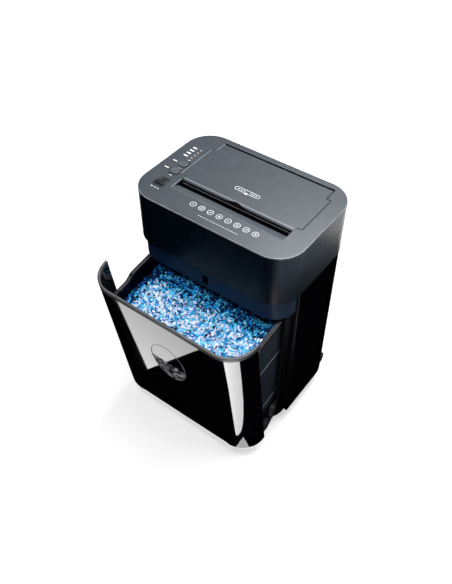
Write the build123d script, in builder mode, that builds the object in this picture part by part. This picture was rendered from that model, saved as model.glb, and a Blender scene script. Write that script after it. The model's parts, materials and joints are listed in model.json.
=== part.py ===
from build123d import *
import math
import os

os.makedirs("parts", exist_ok=True)

# Paper shredder with a pull-out bin on castors, in millimetres, +Z up, front towards -Y.
# The origin is on the floor under the middle of the head. The rest pose has the bin drawn out and tipped.

# Outer form
head_width = 324.0
head_depth = 218.0
corner_radius = 50.0
total_height = 483.0
head_height = 103.0
neck_height = 43.0
cabinet_bottom = 38.0
top_edge_round = 2.0

# Walls and clearances
wall = 3.0
neck_wall = 2.5
tub_wall = 2.5
door_wall = 4.0
cabinet_inset = 1.0
neck_inset = 6.0
seam = 0.6
running_fit = 0.05
sliding_gap = 0.5

# Cabinet
panel_setback = 54.0
back_seam = 100.0
base_setback = 18.0
base_plate = 3.0
base_lip = 9.0
guide_rib = 2.0
base_front_inset = 8.0
pillar_setback = 30.0
pillar_web = 6.0
rear_split = 10.0
rear_seam_rise = 59.0
cover_lip = 5.0

# Bin, described where it stands when pushed home
tub_side_gap = 20.0
tub_front_gap = 9.0
tub_back_gap = 14.0
tub_floor_gap = 7.0
tub_rim_gap = 15.0
tub_front_round = 34.0
tub_back_round = 20.0
tub_step = 1.5
tub_ledge_rises = (62.0, 187.0)
rim_overhang = 4.0
rim_thickness = 3.0
rim_drop = 9.0
rim_drop_front = -45.0
rim_drop_back = -21.0
door_bottom_gap = 5.0
door_top_gap = 2.0
door_seam = 2.0
door_roll = 12.0
door_lip_depth = 8.0
grip_height = 8.0
grip_wall = 4.8
window_width = 76.0
window_height = 100.0
window_drop = 125.0
window_recess = 0.4
boss_x = 100.0
heap_gap = 14.0
heap_crown = 8.0
heap_crown_taper = 55.0
heap_left_drop = 26.0
heap_left_run = 46.0
boss_radius = 7.0
bin_travel = 80.0
bin_tilt = 7.5
pivot_home_y = 4.0
pivot_rise = 17.0
trunnion_radius = 4.0
trunnion_flange = 1.4
shoe_half_length = 15.0
glide_bar = 2.5

# Head, top side
lid_left = -101.0
lid_right = 124.0
lid_ear = 9.0
lid_front = -34.0
lid_back_inset = 15.0
ear_front = -23.0
ear_back = 65.0
lid_gap = 1.2
lid_thickness = 3.0
lid_rib_inset = 30.0
lid_rib_depth = 5.0
lid_well_depth = 15.0
lid_pin_radius = 1.6
hinge_barrel = 5.2
hinge_lap = 1.5
nose_round = 7.0
nose_depth = 19.0
nose_thickness = 5.0
scoop_radius = 30.0
scoop_rise = 9.0
well_wall = 2.0
slot_lip_front_gap = 28.5
slot_lip_back_gap = 10.3
lip_drop = 6.5
throat_width = 5.8
throat_clearance = 7.0
switch_inset = 38.0
rocker_y = -60.0
rocker_size = (16.0, 20.0)
forward_button_y = -24.0
reverse_button_y = 0.6
button_radius = 8.75
button_travel = 1.2
indicator_y = 36.5
indicator_pitch = 9.0
indicator_offset = 14.0
indicator_size = (8.5, 2.4)

# Cutter block and drive
cutter_drop = 5.0
nip_gap = 7.5
cutter_spacing = 38.0
disc_radius = 22.0
disc_root = 18.5
disc_hub = 11.0
disc_pitch = 10.0
disc_thickness = 4.6
disc_count = 22
disc_teeth = 4
disc_phase = 17.0
hex_flats = 14.0
journal_radius = 6.9
bush_radius = 10.0
frame_plate = 3.0
frame_gap = 1.6
rod_rise = 24.0
rod_front_offset = 19.5
rod_back_offset = 24.5
motor_rod_offset = 21.0
motor_rod_drop = 30.0
timing_teeth = 19
timing_module = 2.0
driven_teeth = 40
idler_small_teeth = 12
drive_module = 1.5
idler_large_teeth = 46
pinion_teeth = 12
motor_module = 1.0
idler_angle = 20.0
gear_width = 7.0
gear_layer = 9.0
motor_radius = 25.0
motor_length = 116.0
motor_shaft_radius = 2.5
stud_radius = 4.0

# Castors
castor_side_inset = 28.0
castor_front_inset = 34.0
castor_back_inset = 20.0
castor_trail = 25.0
socket_radius = 8.0
wheel_radius = 15.0
wheel_width = 14.0
axle_radius = 2.5
stem_radius = 4.0

# Values that follow from the sizes above
half_width = head_width / 2
half_depth = head_depth / 2
head_bottom = total_height - head_height
neck_bottom = head_bottom - neck_height
base_top = cabinet_bottom + base_plate
panel_inner = half_width - cabinet_inset - wall
plate_under = total_height - wall
panel_front = -half_depth + panel_setback
base_front = -half_depth + base_setback
pillar_front = -half_depth + pillar_setback
rear_seam_height = head_bottom + rear_seam_rise
castor_x = half_width - castor_side_inset
castor_front_y = -half_depth + castor_front_inset
castor_back_y = half_depth - castor_back_inset
tub_half_width = half_width - tub_side_gap
tub_front = -half_depth + tub_front_gap
tub_back = half_depth - tub_back_gap
tub_floor = base_top + tub_floor_gap
tub_rim = neck_bottom - tub_rim_gap
rim_half_width = tub_half_width + rim_overhang
heap_height = tub_rim - heap_gap
door_bottom = cabinet_bottom + door_bottom_gap
door_top = head_bottom - door_top_gap
door_return = panel_front - door_seam
window_center_height = door_top - window_drop
pivot_height = base_top + pivot_rise
lid_back = half_depth - lid_back_inset
slot_left = lid_left + seam
slot_right = lid_right - seam
slot_lip_front = lid_front - slot_lip_front_gap
slot_lip_back = lid_front - slot_lip_back_gap
switch_x = -half_width + switch_inset
cutter_height = head_bottom - cutter_drop
throat_bottom = cutter_height + disc_radius + throat_clearance
nip_y = lid_front - nip_gap
frame_left = slot_left - wall - frame_gap
frame_right = slot_right + wall + frame_gap
front_cutter_y = nip_y - cutter_spacing / 2
rear_cutter_y = nip_y + cutter_spacing / 2
idler_distance = (driven_teeth + idler_small_teeth) * drive_module / 2
idler_y = rear_cutter_y + idler_distance * math.cos(math.radians(idler_angle))
idler_height = cutter_height + idler_distance * math.sin(math.radians(idler_angle))
motor_y = idler_y + (idler_large_teeth + pinion_teeth) * motor_module / 2
motor_height = idler_height
frame_outer_left = frame_left - frame_plate
timing_left = frame_outer_left - 2 - gear_width
driven_left = timing_left - gear_layer
idler_large_left = driven_left - gear_layer
neck_floor_top = neck_bottom + neck_wall
lid_axis_y = lid_back - hinge_barrel
lid_axis_height = total_height - hinge_barrel
well_floor = total_height - lid_well_depth
nose_bottom = total_height - nose_depth
nose_back = lid_front + nose_thickness
nose_root = nose_back + 6
bin_rest_pose = (
    Pos(0, pivot_home_y - bin_travel, pivot_height)
    * Rot(bin_tilt, 0, 0)
    * Pos(0, -pivot_home_y, -pivot_height)
)


def outline(inset, mode=Mode.ADD):
    """Plan outline of the machine, moved inwards by inset."""
    return RectangleRounded(
        head_width - 2 * inset, head_depth - 2 * inset, corner_radius - inset, mode=mode
    )


def wall_ring(outer, inner):
    """Plan of a wall between two insets of the outline."""
    outline(outer)
    outline(inner, mode=Mode.SUBTRACT)


def field(x_low, x_high, y_low, y_high, mode=Mode.ADD):
    """Rectangle given by its limits along the two axes of the sketch."""
    with Locations(((x_low + x_high) / 2, (y_low + y_high) / 2)):
        Rectangle(x_high - x_low, y_high - y_low, mode=mode)


def across(x):
    """Sketch plane square to X, with Y to the right and Z up."""
    return Plane.YZ.offset(x)


def along(y):
    """Sketch plane square to Y, with X to the right and Z up."""
    return Plane(origin=(0, y, 0), x_dir=(1, 0, 0), z_dir=(0, -1, 0))


def gear_points(teeth, module, first_angle):
    """Corners of a spur gear with straight flanks inside the involute, first tooth at first_angle."""
    pressure = math.radians(20)
    pitch_radius = teeth * module / 2
    base_radius = pitch_radius * math.cos(pressure)
    tip_radius = pitch_radius + 0.8 * module
    root_radius = pitch_radius - 1.1 * module
    backlash = 0.12 * module / pitch_radius

    def half_angle(radius):
        slope = math.acos(min(1, base_radius / radius))
        involute = math.tan(pressure) - pressure - math.tan(slope) + slope
        return math.pi / 2 / teeth + involute - backlash / 2

    points = []
    for tooth in range(teeth):
        middle = math.radians(first_angle) + 2 * math.pi * tooth / teeth
        for radius, side in ((root_radius, -1), (tip_radius, -1), (tip_radius, 1), (root_radius, 1)):
            angle = middle + side * half_angle(radius)
            points.append((radius * math.cos(angle), radius * math.sin(angle)))
    return points


def disc_points(first_angle):
    """Corners of a cutter disc: flats that climb to hooked teeth."""
    points = []
    for tooth in range(disc_teeth):
        start = first_angle + 360 * tooth / disc_teeth
        for radius, turn in ((disc_root, 4), (disc_root, 34), (disc_root + 0.8, 62), (disc_radius, 88)):
            angle = math.radians(start + turn)
            points.append((radius * math.cos(angle), radius * math.sin(angle)))
    return points


def lid_outline(front, grow):
    """Plan of the lid from its front line on, grown by a gap: a long field with a wider middle."""
    field(lid_left - grow, lid_right + grow, front - grow, lid_back + grow)
    ear_start = max(front, ear_front)
    field(lid_left - lid_ear - grow, lid_right + lid_ear + grow, ear_start - grow, ear_back + grow)


def tub_plan(inset, mode=Mode.ADD):
    """Plan of the tub's wall, moved inwards by inset."""
    with BuildSketch(mode=Mode.PRIVATE) as plan:
        field(-tub_half_width + inset, tub_half_width - inset, tub_front + inset, tub_back - inset)
        fillet(plan.vertices().group_by(Axis.Y)[0], tub_front_round - inset)
        fillet(plan.vertices().group_by(Axis.Y)[-1], tub_back_round - inset)
    add(plan.sketch, mode=mode)


# Side panels with their rear corners
with BuildPart() as left_side_panel:
    with BuildSketch(Plane.XY.offset(cabinet_bottom)):
        wall_ring(cabinet_inset, cabinet_inset + wall)
        field(-half_width, -back_seam, panel_front, half_depth, mode=Mode.INTERSECT)
    extrude(amount=head_bottom - cabinet_bottom)
left_side_panel.part.label = "left_side_panel"
export_step(left_side_panel.part, "parts/left_side_panel.step")

with BuildPart() as right_side_panel:
    mirror(left_side_panel.part, about=Plane.YZ)
right_side_panel.part.label = "right_side_panel"
export_step(right_side_panel.part, "parts/right_side_panel.step")

# Back panel with two stiffening ribs
with BuildPart() as back_panel:
    back_outer = half_depth - cabinet_inset
    with BuildSketch(Plane.XY.offset(cabinet_bottom)):
        field(-back_seam, back_seam, back_outer - wall, back_outer)
    extrude(amount=head_bottom - cabinet_bottom)
    with BuildSketch(Plane.XY.offset(cabinet_bottom + base_plate + base_lip)):
        for rib_x in (-back_seam / 2, back_seam / 2):
            field(rib_x - wall, rib_x + wall, back_outer - 2 * wall, back_outer - wall)
    extrude(amount=neck_bottom - cabinet_bottom - base_plate - base_lip)
back_panel.part.label = "back_panel"
export_step(back_panel.part, "parts/back_panel.step")

screw_head_radius = 4.0
screw_head_height = 1.8
screw_socket_radius = 1.8
screw_end_gap = 20.0
screw_x = back_seam - 10
with BuildPart() as back_panel_screws:
    lowest_screw = cabinet_bottom + screw_end_gap
    highest_screw = head_bottom - screw_end_gap
    for screw_height in (lowest_screw, (lowest_screw + highest_screw) / 2, highest_screw):
        with BuildSketch(along(half_depth - cabinet_inset)):
            with Locations((-screw_x, screw_height), (screw_x, screw_height)):
                Circle(screw_head_radius)
                RegularPolygon(screw_socket_radius, 6, mode=Mode.SUBTRACT)
        extrude(amount=-screw_head_height)
back_panel_screws.part.label = "back_panel_screws"
export_step(back_panel_screws.part, "parts/back_panel_screws.step")

# Base tray with castor sockets and the bin's guide ribs
shoe_inner = tub_half_width - 1
pillar_inner = rim_half_width + wall
castor_spots = {
    "front_left": (-castor_x, castor_front_y, -1),
    "front_right": (castor_x, castor_front_y, -1),
    "rear_left": (-castor_x, castor_back_y, 1),
    "rear_right": (castor_x, castor_back_y, 1),
}
bridge_bottom = 2 * wheel_radius + 0.8
bridge_top = bridge_bottom + 3
socket_bottom = bridge_top + 0.4
socket_top = base_top
with BuildPart() as base_tray:
    with BuildSketch(Plane.XY.offset(cabinet_bottom)):
        outline(cabinet_inset + wall)
        field(-half_width, half_width, panel_front, half_depth, mode=Mode.INTERSECT)
    extrude(amount=base_plate)
    with BuildSketch(Plane.XY.offset(cabinet_bottom)):
        outline(base_front_inset)
        field(-half_width, half_width, base_front, panel_front, mode=Mode.INTERSECT)
    extrude(amount=base_plate)
    with BuildSketch(Plane.XY.offset(base_top)):
        wall_ring(cabinet_inset + wall, cabinet_inset + wall + neck_wall)
        field(-half_width, half_width, panel_front + pillar_web + wall, half_depth, mode=Mode.INTERSECT)
    extrude(amount=base_lip)
    with BuildSketch(Plane.XY.offset(base_top)):
        for side in (-1, 1):
            rib = side * (shoe_inner - 2)
            field(rib - 1, rib + 1, base_front + 4, pivot_home_y + 30)
    extrude(amount=guide_rib)
    with BuildSketch(Plane.XY.offset(socket_bottom)):
        with Locations([(x, y) for x, y, _ in castor_spots.values()]):
            Circle(socket_radius)
    extrude(amount=socket_top - socket_bottom)
    with BuildSketch(Plane.XY.offset(socket_bottom)):
        with Locations([(x, y) for x, y, _ in castor_spots.values()]):
            Circle(stem_radius + running_fit)
    extrude(amount=socket_top - socket_bottom, mode=Mode.SUBTRACT)
base_tray.part.label = "base_tray"
export_step(base_tray.part, "parts/base_tray.step")

# Front pillars, stepped inwards so that the door's returns lap over them
with BuildPart() as left_front_pillar:
    with BuildSketch(Plane.XY.offset(base_top)):
        field(-pillar_inner - wall, -pillar_inner, pillar_front, panel_front + pillar_web + wall)
        field(-panel_inner, -pillar_inner, panel_front + wall, panel_front + pillar_web + wall)
    extrude(amount=neck_bottom - sliding_gap - base_top)
left_front_pillar.part.label = "left_front_pillar"
export_step(left_front_pillar.part, "parts/left_front_pillar.step")

with BuildPart() as right_front_pillar:
    mirror(left_front_pillar.part, about=Plane.YZ)
right_front_pillar.part.label = "right_front_pillar"
export_step(right_front_pillar.part, "parts/right_front_pillar.step")

# Lower housing of the head: neck, floor with the shred chute, rim under the covers
chute_left = frame_left + 1
chute_right = frame_right - 1
chute_front = front_cutter_y - disc_radius - 5.5
chute_back = rear_cutter_y + disc_radius + 6.5
neck_front = -half_depth + neck_inset
notch_half_width = 6.0
neck_round = corner_radius - neck_inset
corner_centre = (half_width - corner_radius, corner_radius - half_depth)
neck_rib_proud = 0.6
neck_rib_count = 3
neck_rib_angle = -58.0
neck_rib_pitch = 9.0
notch_bottom = neck_bottom + 4
notch_top = neck_bottom + 26
with BuildPart() as head_lower_housing:
    with BuildSketch(Plane.XY.offset(neck_bottom)):
        wall_ring(neck_inset, neck_inset + neck_wall)
    extrude(amount=neck_height)
    with BuildSketch(Plane.XY.offset(neck_bottom)):
        outline(neck_inset + neck_wall)
        field(chute_left, chute_right, chute_front, chute_back, mode=Mode.SUBTRACT)
    extrude(amount=neck_wall)
    with BuildSketch(Plane.XY.offset(head_bottom)):
        wall_ring(wall, neck_inset + neck_wall)
    extrude(amount=neck_wall)
    with BuildSketch(along(neck_front + neck_wall)):
        field(-notch_half_width, notch_half_width, notch_bottom, notch_top)
    extrude(amount=neck_wall, mode=Mode.SUBTRACT)
    for rib in range(neck_rib_count):
        rib_angle = neck_rib_angle + neck_rib_pitch * rib
        with BuildSketch(Plane.XY.offset(neck_bottom)):
            with Locations(Pos(*corner_centre) * Rot(0, 0, rib_angle)):
                field(neck_round - neck_wall / 2, neck_round + neck_rib_proud, -1, 1)
        extrude(amount=neck_height)
head_lower_housing.part.label = "head_lower_housing"
export_step(head_lower_housing.part, "parts/head_lower_housing.step")

# Side shell of the head, cut back at the rear for its cover
with BuildPart() as head_side_shell:
    with BuildSketch(Plane.XY.offset(head_bottom)):
        wall_ring(0, wall)
    extrude(amount=plate_under - head_bottom)
    with BuildSketch(Plane.XY.offset(head_bottom)):
        field(-half_width, half_width, rear_split, half_depth)
    extrude(amount=rear_seam_height - head_bottom, mode=Mode.SUBTRACT)
head_side_shell.part.label = "head_side_shell"
export_step(head_side_shell.part, "parts/head_side_shell.step")

# Top cover: a plate that a lip holds in the shell, with lid opening, paper slot, switch holes and board posts
bezel_wall = 1.2
rocker_hole = (rocker_size[0] + 2 * bezel_wall + 1, rocker_size[1] + 2 * bezel_wall + 1)
button_hole = button_radius + 0.3 + bezel_wall
indicator_rows = [indicator_y + (step - 1.5) * indicator_pitch for step in range(4)]
indicator_spots = [(switch_x - indicator_offset, row) for row in indicator_rows]
board_top = total_height - 19.4
board_left = switch_x - 26
board_right = switch_x + 8
board_front = rocker_y - 16
board_back = indicator_y + 14
post_radius = 3.0
post_rows = (rocker_y + 20, reverse_button_y + 17.4)
post_spots = [(x, y) for x in (board_left + 4, board_right - 4) for y in post_rows]
with BuildPart() as head_top_cover:
    with BuildSketch(Plane.XY.offset(plate_under)):
        outline(0)
    extrude(amount=wall)
    fillet(head_top_cover.faces().sort_by(Axis.Z)[-1].edges(), top_edge_round)
    with BuildSketch(Plane.XY.offset(plate_under)):
        wall_ring(wall + running_fit, wall + neck_wall)
    extrude(amount=-cover_lip)
    with BuildSketch(Plane.XY.offset(plate_under)):
        lid_outline(lid_front + nose_round, lid_gap)
        field(slot_left, slot_right, slot_lip_front, lid_front + nose_round)
    extrude(amount=wall, mode=Mode.SUBTRACT)
    with BuildSketch(Plane.XY.offset(plate_under)):
        with Locations((switch_x, rocker_y)):
            RectangleRounded(*rocker_hole, 2)
        with Locations((switch_x, forward_button_y), (switch_x, reverse_button_y)):
            Circle(button_hole)
        with Locations(indicator_spots):
            Rectangle(*indicator_size)
    extrude(amount=wall, mode=Mode.SUBTRACT)
    with BuildSketch(Plane.XY.offset(plate_under)):
        with Locations(post_spots):
            Circle(post_radius)
    extrude(amount=board_top - plate_under)
head_top_cover.part.label = "head_top_cover"
export_step(head_top_cover.part, "parts/head_top_cover.step")

# Rear cover of the head with its cooling slots and the hole for the cord gland
gland_spot = (-90.0, head_bottom + 18)
gland_radius = 7.0
gland_bore = 3.5
with BuildPart() as head_rear_cover:
    with BuildSketch(Plane.XY.offset(head_bottom)):
        wall_ring(0, wall)
        field(-half_width, half_width, rear_split + seam, half_depth, mode=Mode.INTERSECT)
    extrude(amount=rear_seam_height - seam - head_bottom)
    with BuildSketch(along(half_depth)):
        with Locations((10, (head_bottom + rear_seam_height) / 2)):
            with GridLocations(9, 1, 11, 1):
                SlotOverall(30, 3.5, rotation=90)
        with Locations(gland_spot):
            Circle(gland_radius)
    extrude(amount=-wall, both=True, mode=Mode.SUBTRACT)
head_rear_cover.part.label = "head_rear_cover"
export_step(head_rear_cover.part, "parts/head_rear_cover.step")

# Cord gland: a flanged bush through the rear cover
with BuildPart() as cord_gland:
    with BuildSketch(along(half_depth + 6)):
        with Locations(gland_spot):
            Circle(gland_radius - 1)
    extrude(amount=4, taper=-12)
    with BuildSketch(along(half_depth + 2)):
        with Locations(gland_spot):
            Circle(gland_radius + 2)
    extrude(amount=2)
    with BuildSketch(along(half_depth)):
        with Locations(gland_spot):
            Circle(gland_radius)
    extrude(amount=8)
    with BuildSketch(along(half_depth + 6)):
        with Locations(gland_spot):
            Circle(gland_bore)
    extrude(amount=14, mode=Mode.SUBTRACT)
cord_gland.part.label = "cord_gland"
export_step(cord_gland.part, "parts/cord_gland.step")

# Well under the lid, with sockets for the hinge pins
well_front = nose_root + well_wall + 2 * seam
socket_length = 7.0
with BuildPart() as lid_well:
    with BuildSketch(Plane.XY.offset(well_floor)):
        lid_outline(well_front, seam + well_wall)
    extrude(amount=plate_under - well_floor)
    with BuildSketch(Plane.XY.offset(well_floor)):
        for end, side in ((lid_left - seam, -1), (lid_right + seam, 1)):
            limits = sorted((end, end + side * socket_length))
            field(*limits, lid_axis_y - 4, lid_axis_y + 4)
    extrude(amount=plate_under - well_floor)
    with BuildSketch(Plane.XY.offset(well_floor + well_wall)):
        lid_outline(well_front, seam)
    extrude(amount=lid_well_depth, mode=Mode.SUBTRACT)
    with BuildSketch(across(lid_left - lid_ear - 2)):
        with Locations((lid_axis_y, lid_axis_height)):
            Circle(lid_pin_radius + running_fit)
    extrude(amount=lid_right - lid_left + 2 * lid_ear + 4, mode=Mode.SUBTRACT)
lid_well.part.label = "lid_well"
export_step(lid_well.part, "parts/lid_well.step")

# Lid: plate with side ears, rolled rear edge round the hinge axis, thick rounded nose at the slot
with BuildPart() as feed_lid:
    with BuildSketch(Plane.XY.offset(total_height - lid_thickness)):
        field(lid_left, lid_right, lid_front + nose_round, lid_axis_y + hinge_lap)
        field(lid_left - lid_ear, lid_right + lid_ear, ear_front, ear_back)
    extrude(amount=lid_thickness)
    with BuildSketch(across(lid_left)):
        with Locations((lid_axis_y, lid_axis_height)):
            Circle(hinge_barrel)
    extrude(amount=lid_right - lid_left)
    with BuildSketch(across(slot_left + seam)):
        with BuildLine():
            nose_start = (lid_front, total_height - nose_round)
            nose_end = (lid_front + nose_round, total_height)
            Polyline(
                nose_end,
                (nose_root, total_height),
                (nose_root, total_height - lid_thickness),
                (nose_back, total_height - 2 * nose_round),
                (nose_back, nose_bottom),
                (lid_front, nose_bottom),
                nose_start,
            )
            RadiusArc(nose_start, nose_end, nose_round)
        make_face()
    extrude(amount=slot_right - slot_left - 2 * seam)
    with BuildSketch(along(lid_front)):
        with Locations(((lid_left + lid_right) / 2, nose_bottom + scoop_rise - scoop_radius)):
            Circle(scoop_radius)
    extrude(amount=-nose_thickness, mode=Mode.SUBTRACT)
    with BuildSketch(Plane.XY.offset(total_height - lid_thickness)):
        for rib_x in (lid_left + lid_rib_inset, (lid_left + lid_right) / 2, lid_right - lid_rib_inset):
            field(rib_x - 1, rib_x + 1, well_front + seam, lid_axis_y - hinge_barrel)
    extrude(amount=-lid_rib_depth)
feed_lid.part.label = "feed_lid"
export_step(feed_lid.part, "parts/feed_lid.step")

hinge_pin_length = 5.5
with BuildPart() as lid_hinge_pins:
    for start in (lid_left - hinge_pin_length, lid_right):
        with BuildSketch(across(start)):
            with Locations((lid_axis_y, lid_axis_height)):
                Circle(lid_pin_radius)
        extrude(amount=hinge_pin_length)
lid_hinge_pins.part.label = "lid_hinge_pins"
export_step(lid_hinge_pins.part, "parts/lid_hinge_pins.step")

# Throat of the paper slot: two guides that close in on the nip, and their end cheeks
throat_front = nip_y - throat_width / 2
throat_back = nip_y + throat_width / 2
lip_height = total_height - lip_drop
guide_top = nose_bottom - 2
with BuildPart() as throat_guide:
    with BuildSketch(across(slot_left - wall)):
        Polygon(
            (slot_lip_front, total_height),
            (slot_lip_back, lip_height),
            (throat_front, throat_bottom),
            (throat_front - wall, throat_bottom),
            (slot_lip_back - wall, lip_height - 6),
            (slot_lip_front, lip_height - 3),
            align=None,
        )
        Polygon(
            (lid_front + 0.5, guide_top),
            (throat_back, throat_bottom),
            (throat_back + wall, throat_bottom),
            (lid_front + 0.5 + wall, guide_top),
            align=None,
        )
    extrude(amount=slot_right - slot_left + 2 * wall)
    for cheek in (slot_left - wall, slot_right):
        with BuildSketch(across(cheek)):
            Polygon(
                (slot_lip_back - wall, lip_height - 6),
                (lid_front - 2, lip_height - 6),
                (lid_front - 2, guide_top),
                (lid_front + 0.5, guide_top),
                (throat_back, throat_bottom),
                (throat_front, throat_bottom),
                align=None,
            )
        extrude(amount=wall)
    with BuildSketch(Plane.XY.offset(plate_under)):
        field(slot_left - wall, slot_left, slot_lip_front, lid_front)
        field(slot_right, slot_right + wall, slot_lip_front, lid_front)
    extrude(amount=wall, mode=Mode.SUBTRACT)
throat_guide.part.label = "throat_guide"
export_step(throat_guide.part, "parts/throat_guide.step")

# Paper sensor on the back of the throat
with BuildPart() as paper_sensor:
    sensor_low = guide_top - 30
    sensor_high = guide_top - 14
    slant = (lid_front + 0.5 - throat_back) / (guide_top - throat_bottom)
    with BuildSketch(across((slot_left + slot_right) / 2 - 8)):
        Polygon(
            (throat_back + wall + slant * (sensor_low - throat_bottom), sensor_low),
            (throat_back + wall + slant * (sensor_high - throat_bottom), sensor_high),
            (lid_front + 14, sensor_high),
            (lid_front + 14, sensor_low),
            align=None,
        )
    extrude(amount=16)
paper_sensor.part.label = "paper_sensor"
export_step(paper_sensor.part, "parts/paper_sensor.step")

# Bezels of the rocker and the two buttons
bezel_proud = 0.8
bezel_flange = 4.0
bezel_depth = 7.0
with BuildPart() as switch_bezels:
    with BuildSketch(Plane.XY.offset(plate_under - bezel_depth + wall)):
        with Locations((switch_x, rocker_y)):
            RectangleRounded(*rocker_hole, 2)
            Rectangle(rocker_size[0] + 1, rocker_size[1] + 1, mode=Mode.SUBTRACT)
        with Locations((switch_x, forward_button_y), (switch_x, reverse_button_y)):
            Circle(button_hole)
            Circle(button_radius + 0.3, mode=Mode.SUBTRACT)
    extrude(amount=bezel_depth)
    with BuildSketch(Plane.XY.offset(total_height)):
        with Locations((switch_x, rocker_y)):
            RectangleRounded(rocker_hole[0] + bezel_flange, rocker_hole[1] + bezel_flange, bezel_flange)
            Rectangle(rocker_size[0] + 1, rocker_size[1] + 1, mode=Mode.SUBTRACT)
        with Locations((switch_x, forward_button_y), (switch_x, reverse_button_y)):
            Circle(button_hole + 1)
            Circle(button_radius + 0.3, mode=Mode.SUBTRACT)
    extrude(amount=bezel_proud)
switch_bezels.part.label = "switch_bezels"
export_step(switch_bezels.part, "parts/switch_bezels.step")

# Rocker, a short bar with round ends about its own axis, standing with its rear end down
rocker_axis_height = total_height - 3.0
rocker_rest = -7.0
rocker_reach = rocker_size[1] / 2
rocker_lean = (0, math.cos(math.radians(rocker_rest)), math.sin(math.radians(rocker_rest)))
rocker_plane = Plane(
    origin=(switch_x - rocker_size[0] / 2, rocker_y, rocker_axis_height), x_dir=rocker_lean, z_dir=(1, 0, 0)
)
with BuildPart() as rocker_switch:
    with BuildSketch(rocker_plane):
        Circle(rocker_reach)
        field(-rocker_reach, rocker_reach, -4.5, 5.0, mode=Mode.INTERSECT)
        with Locations((0, 26.5)):
            Circle(23, mode=Mode.SUBTRACT)
    extrude(amount=rocker_size[0])
rocker_switch.part.label = "rocker_switch"
export_step(rocker_switch.part, "parts/rocker_switch.step")


# Push buttons with a domed cap and a plunger over the board
cap_skirt = 2.0
cap_rise = 2.2
cap_round = 1.2
plunger_radius = 3.0
plunger_gap = 2.0


def push_button(center_y):
    """One button: cap with a softened edge, and the plunger under it."""
    with BuildPart() as button:
        with BuildSketch(Plane.XY.offset(plate_under - cap_skirt)):
            with Locations((switch_x, center_y)):
                Circle(button_radius)
        extrude(amount=cap_skirt + wall + cap_rise)
        fillet(button.faces().sort_by(Axis.Z)[-1].edges(), cap_round)
        with BuildSketch(Plane.XY.offset(board_top + button_travel + plunger_gap)):
            with Locations((switch_x, center_y)):
                Circle(plunger_radius)
        extrude(amount=plate_under - cap_skirt - board_top - button_travel - plunger_gap)
    return button


forward_button = push_button(forward_button_y)
forward_button.part.label = "forward_button"
export_step(forward_button.part, "parts/forward_button.step")
reverse_button = push_button(reverse_button_y)
reverse_button.part.label = "reverse_button"
export_step(reverse_button.part, "parts/reverse_button.step")

with BuildPart() as indicator_lenses:
    with BuildSketch(Plane.XY.offset(plate_under - 0.5)):
        with Locations(indicator_spots):
            Rectangle(*indicator_size)
    extrude(amount=wall + 0.8)
indicator_lenses.part.label = "indicator_lenses"
export_step(indicator_lenses.part, "parts/indicator_lenses.step")

# Control board with its switch pads, relay and connector
board_thickness = 1.6
pad_size = 6.0
pad_height = 1.2
relay_height = 14.0
with BuildPart() as control_board:
    with BuildSketch(Plane.XY.offset(board_top)):
        field(board_left, board_right, board_front, board_back)
    extrude(amount=-board_thickness)
    with BuildSketch(Plane.XY.offset(board_top)):
        with Locations((switch_x, forward_button_y), (switch_x, reverse_button_y)):
            Rectangle(pad_size, pad_size)
    extrude(amount=pad_height)
    with BuildSketch(Plane.XY.offset(board_top - board_thickness)):
        field(board_left + 4, board_left + 22, rocker_y - 10, rocker_y + 8)
        field(board_left + 4, board_left + 30, indicator_y - 2, indicator_y + 6)
        with Locations((switch_x - 9, forward_button_y + 14), (switch_x - 9, reverse_button_y + 7.4)):
            Circle(5)
    extrude(amount=-relay_height)
control_board.part.label = "control_board"
export_step(control_board.part, "parts/control_board.step")

# Frame plates of the cutter block
rod_radius = 4.0
rod_screw_radius = 2.5
rod_spots = (
    (front_cutter_y - rod_front_offset, cutter_height + rod_rise),
    (rear_cutter_y + rod_back_offset, cutter_height + rod_rise),
    (motor_y + motor_rod_offset, motor_height - motor_rod_drop),
)
plate_front = front_cutter_y - disc_radius - 3.5
plate_back = motor_y + motor_radius + 4
plate_top = cutter_height + 32
motor_boss_radius = 9.0


def frame_sheet(start):
    """Plan and holes shared by the two steel side plates, which stand on the housing's floor."""
    with BuildSketch(across(start)) as profile:
        field(plate_front, plate_back, neck_floor_top, plate_top)
        field(chute_front + 8, chute_back - 8, neck_floor_top, neck_floor_top + 9, mode=Mode.SUBTRACT)
        with Locations((front_cutter_y, cutter_height), (rear_cutter_y, cutter_height)):
            Circle(bush_radius, mode=Mode.SUBTRACT)
        with Locations(rod_spots):
            Circle(rod_screw_radius, mode=Mode.SUBTRACT)
    extrude(profile.sketch, amount=frame_plate)


with BuildPart() as cutter_frame_left:
    frame_sheet(frame_outer_left)
    with BuildSketch(across(frame_outer_left)):
        with Locations((motor_y, motor_height)):
            Circle(motor_boss_radius)
        with Locations((idler_y, idler_height)):
            Circle(stud_radius)
    extrude(amount=frame_plate, mode=Mode.SUBTRACT)
cutter_frame_left.part.label = "cutter_frame_left"
export_step(cutter_frame_left.part, "parts/cutter_frame_left.step")

with BuildPart() as cutter_frame_right:
    frame_sheet(frame_right)
cutter_frame_right.part.label = "cutter_frame_right"
export_step(cutter_frame_right.part, "parts/cutter_frame_right.step")

with BuildPart() as frame_tie_rods:
    with BuildSketch(across(frame_left)):
        with Locations(rod_spots):
            Circle(rod_radius)
    extrude(amount=frame_right - frame_left)
frame_tie_rods.part.label = "frame_tie_rods"
export_step(frame_tie_rods.part, "parts/frame_tie_rods.step")

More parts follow.
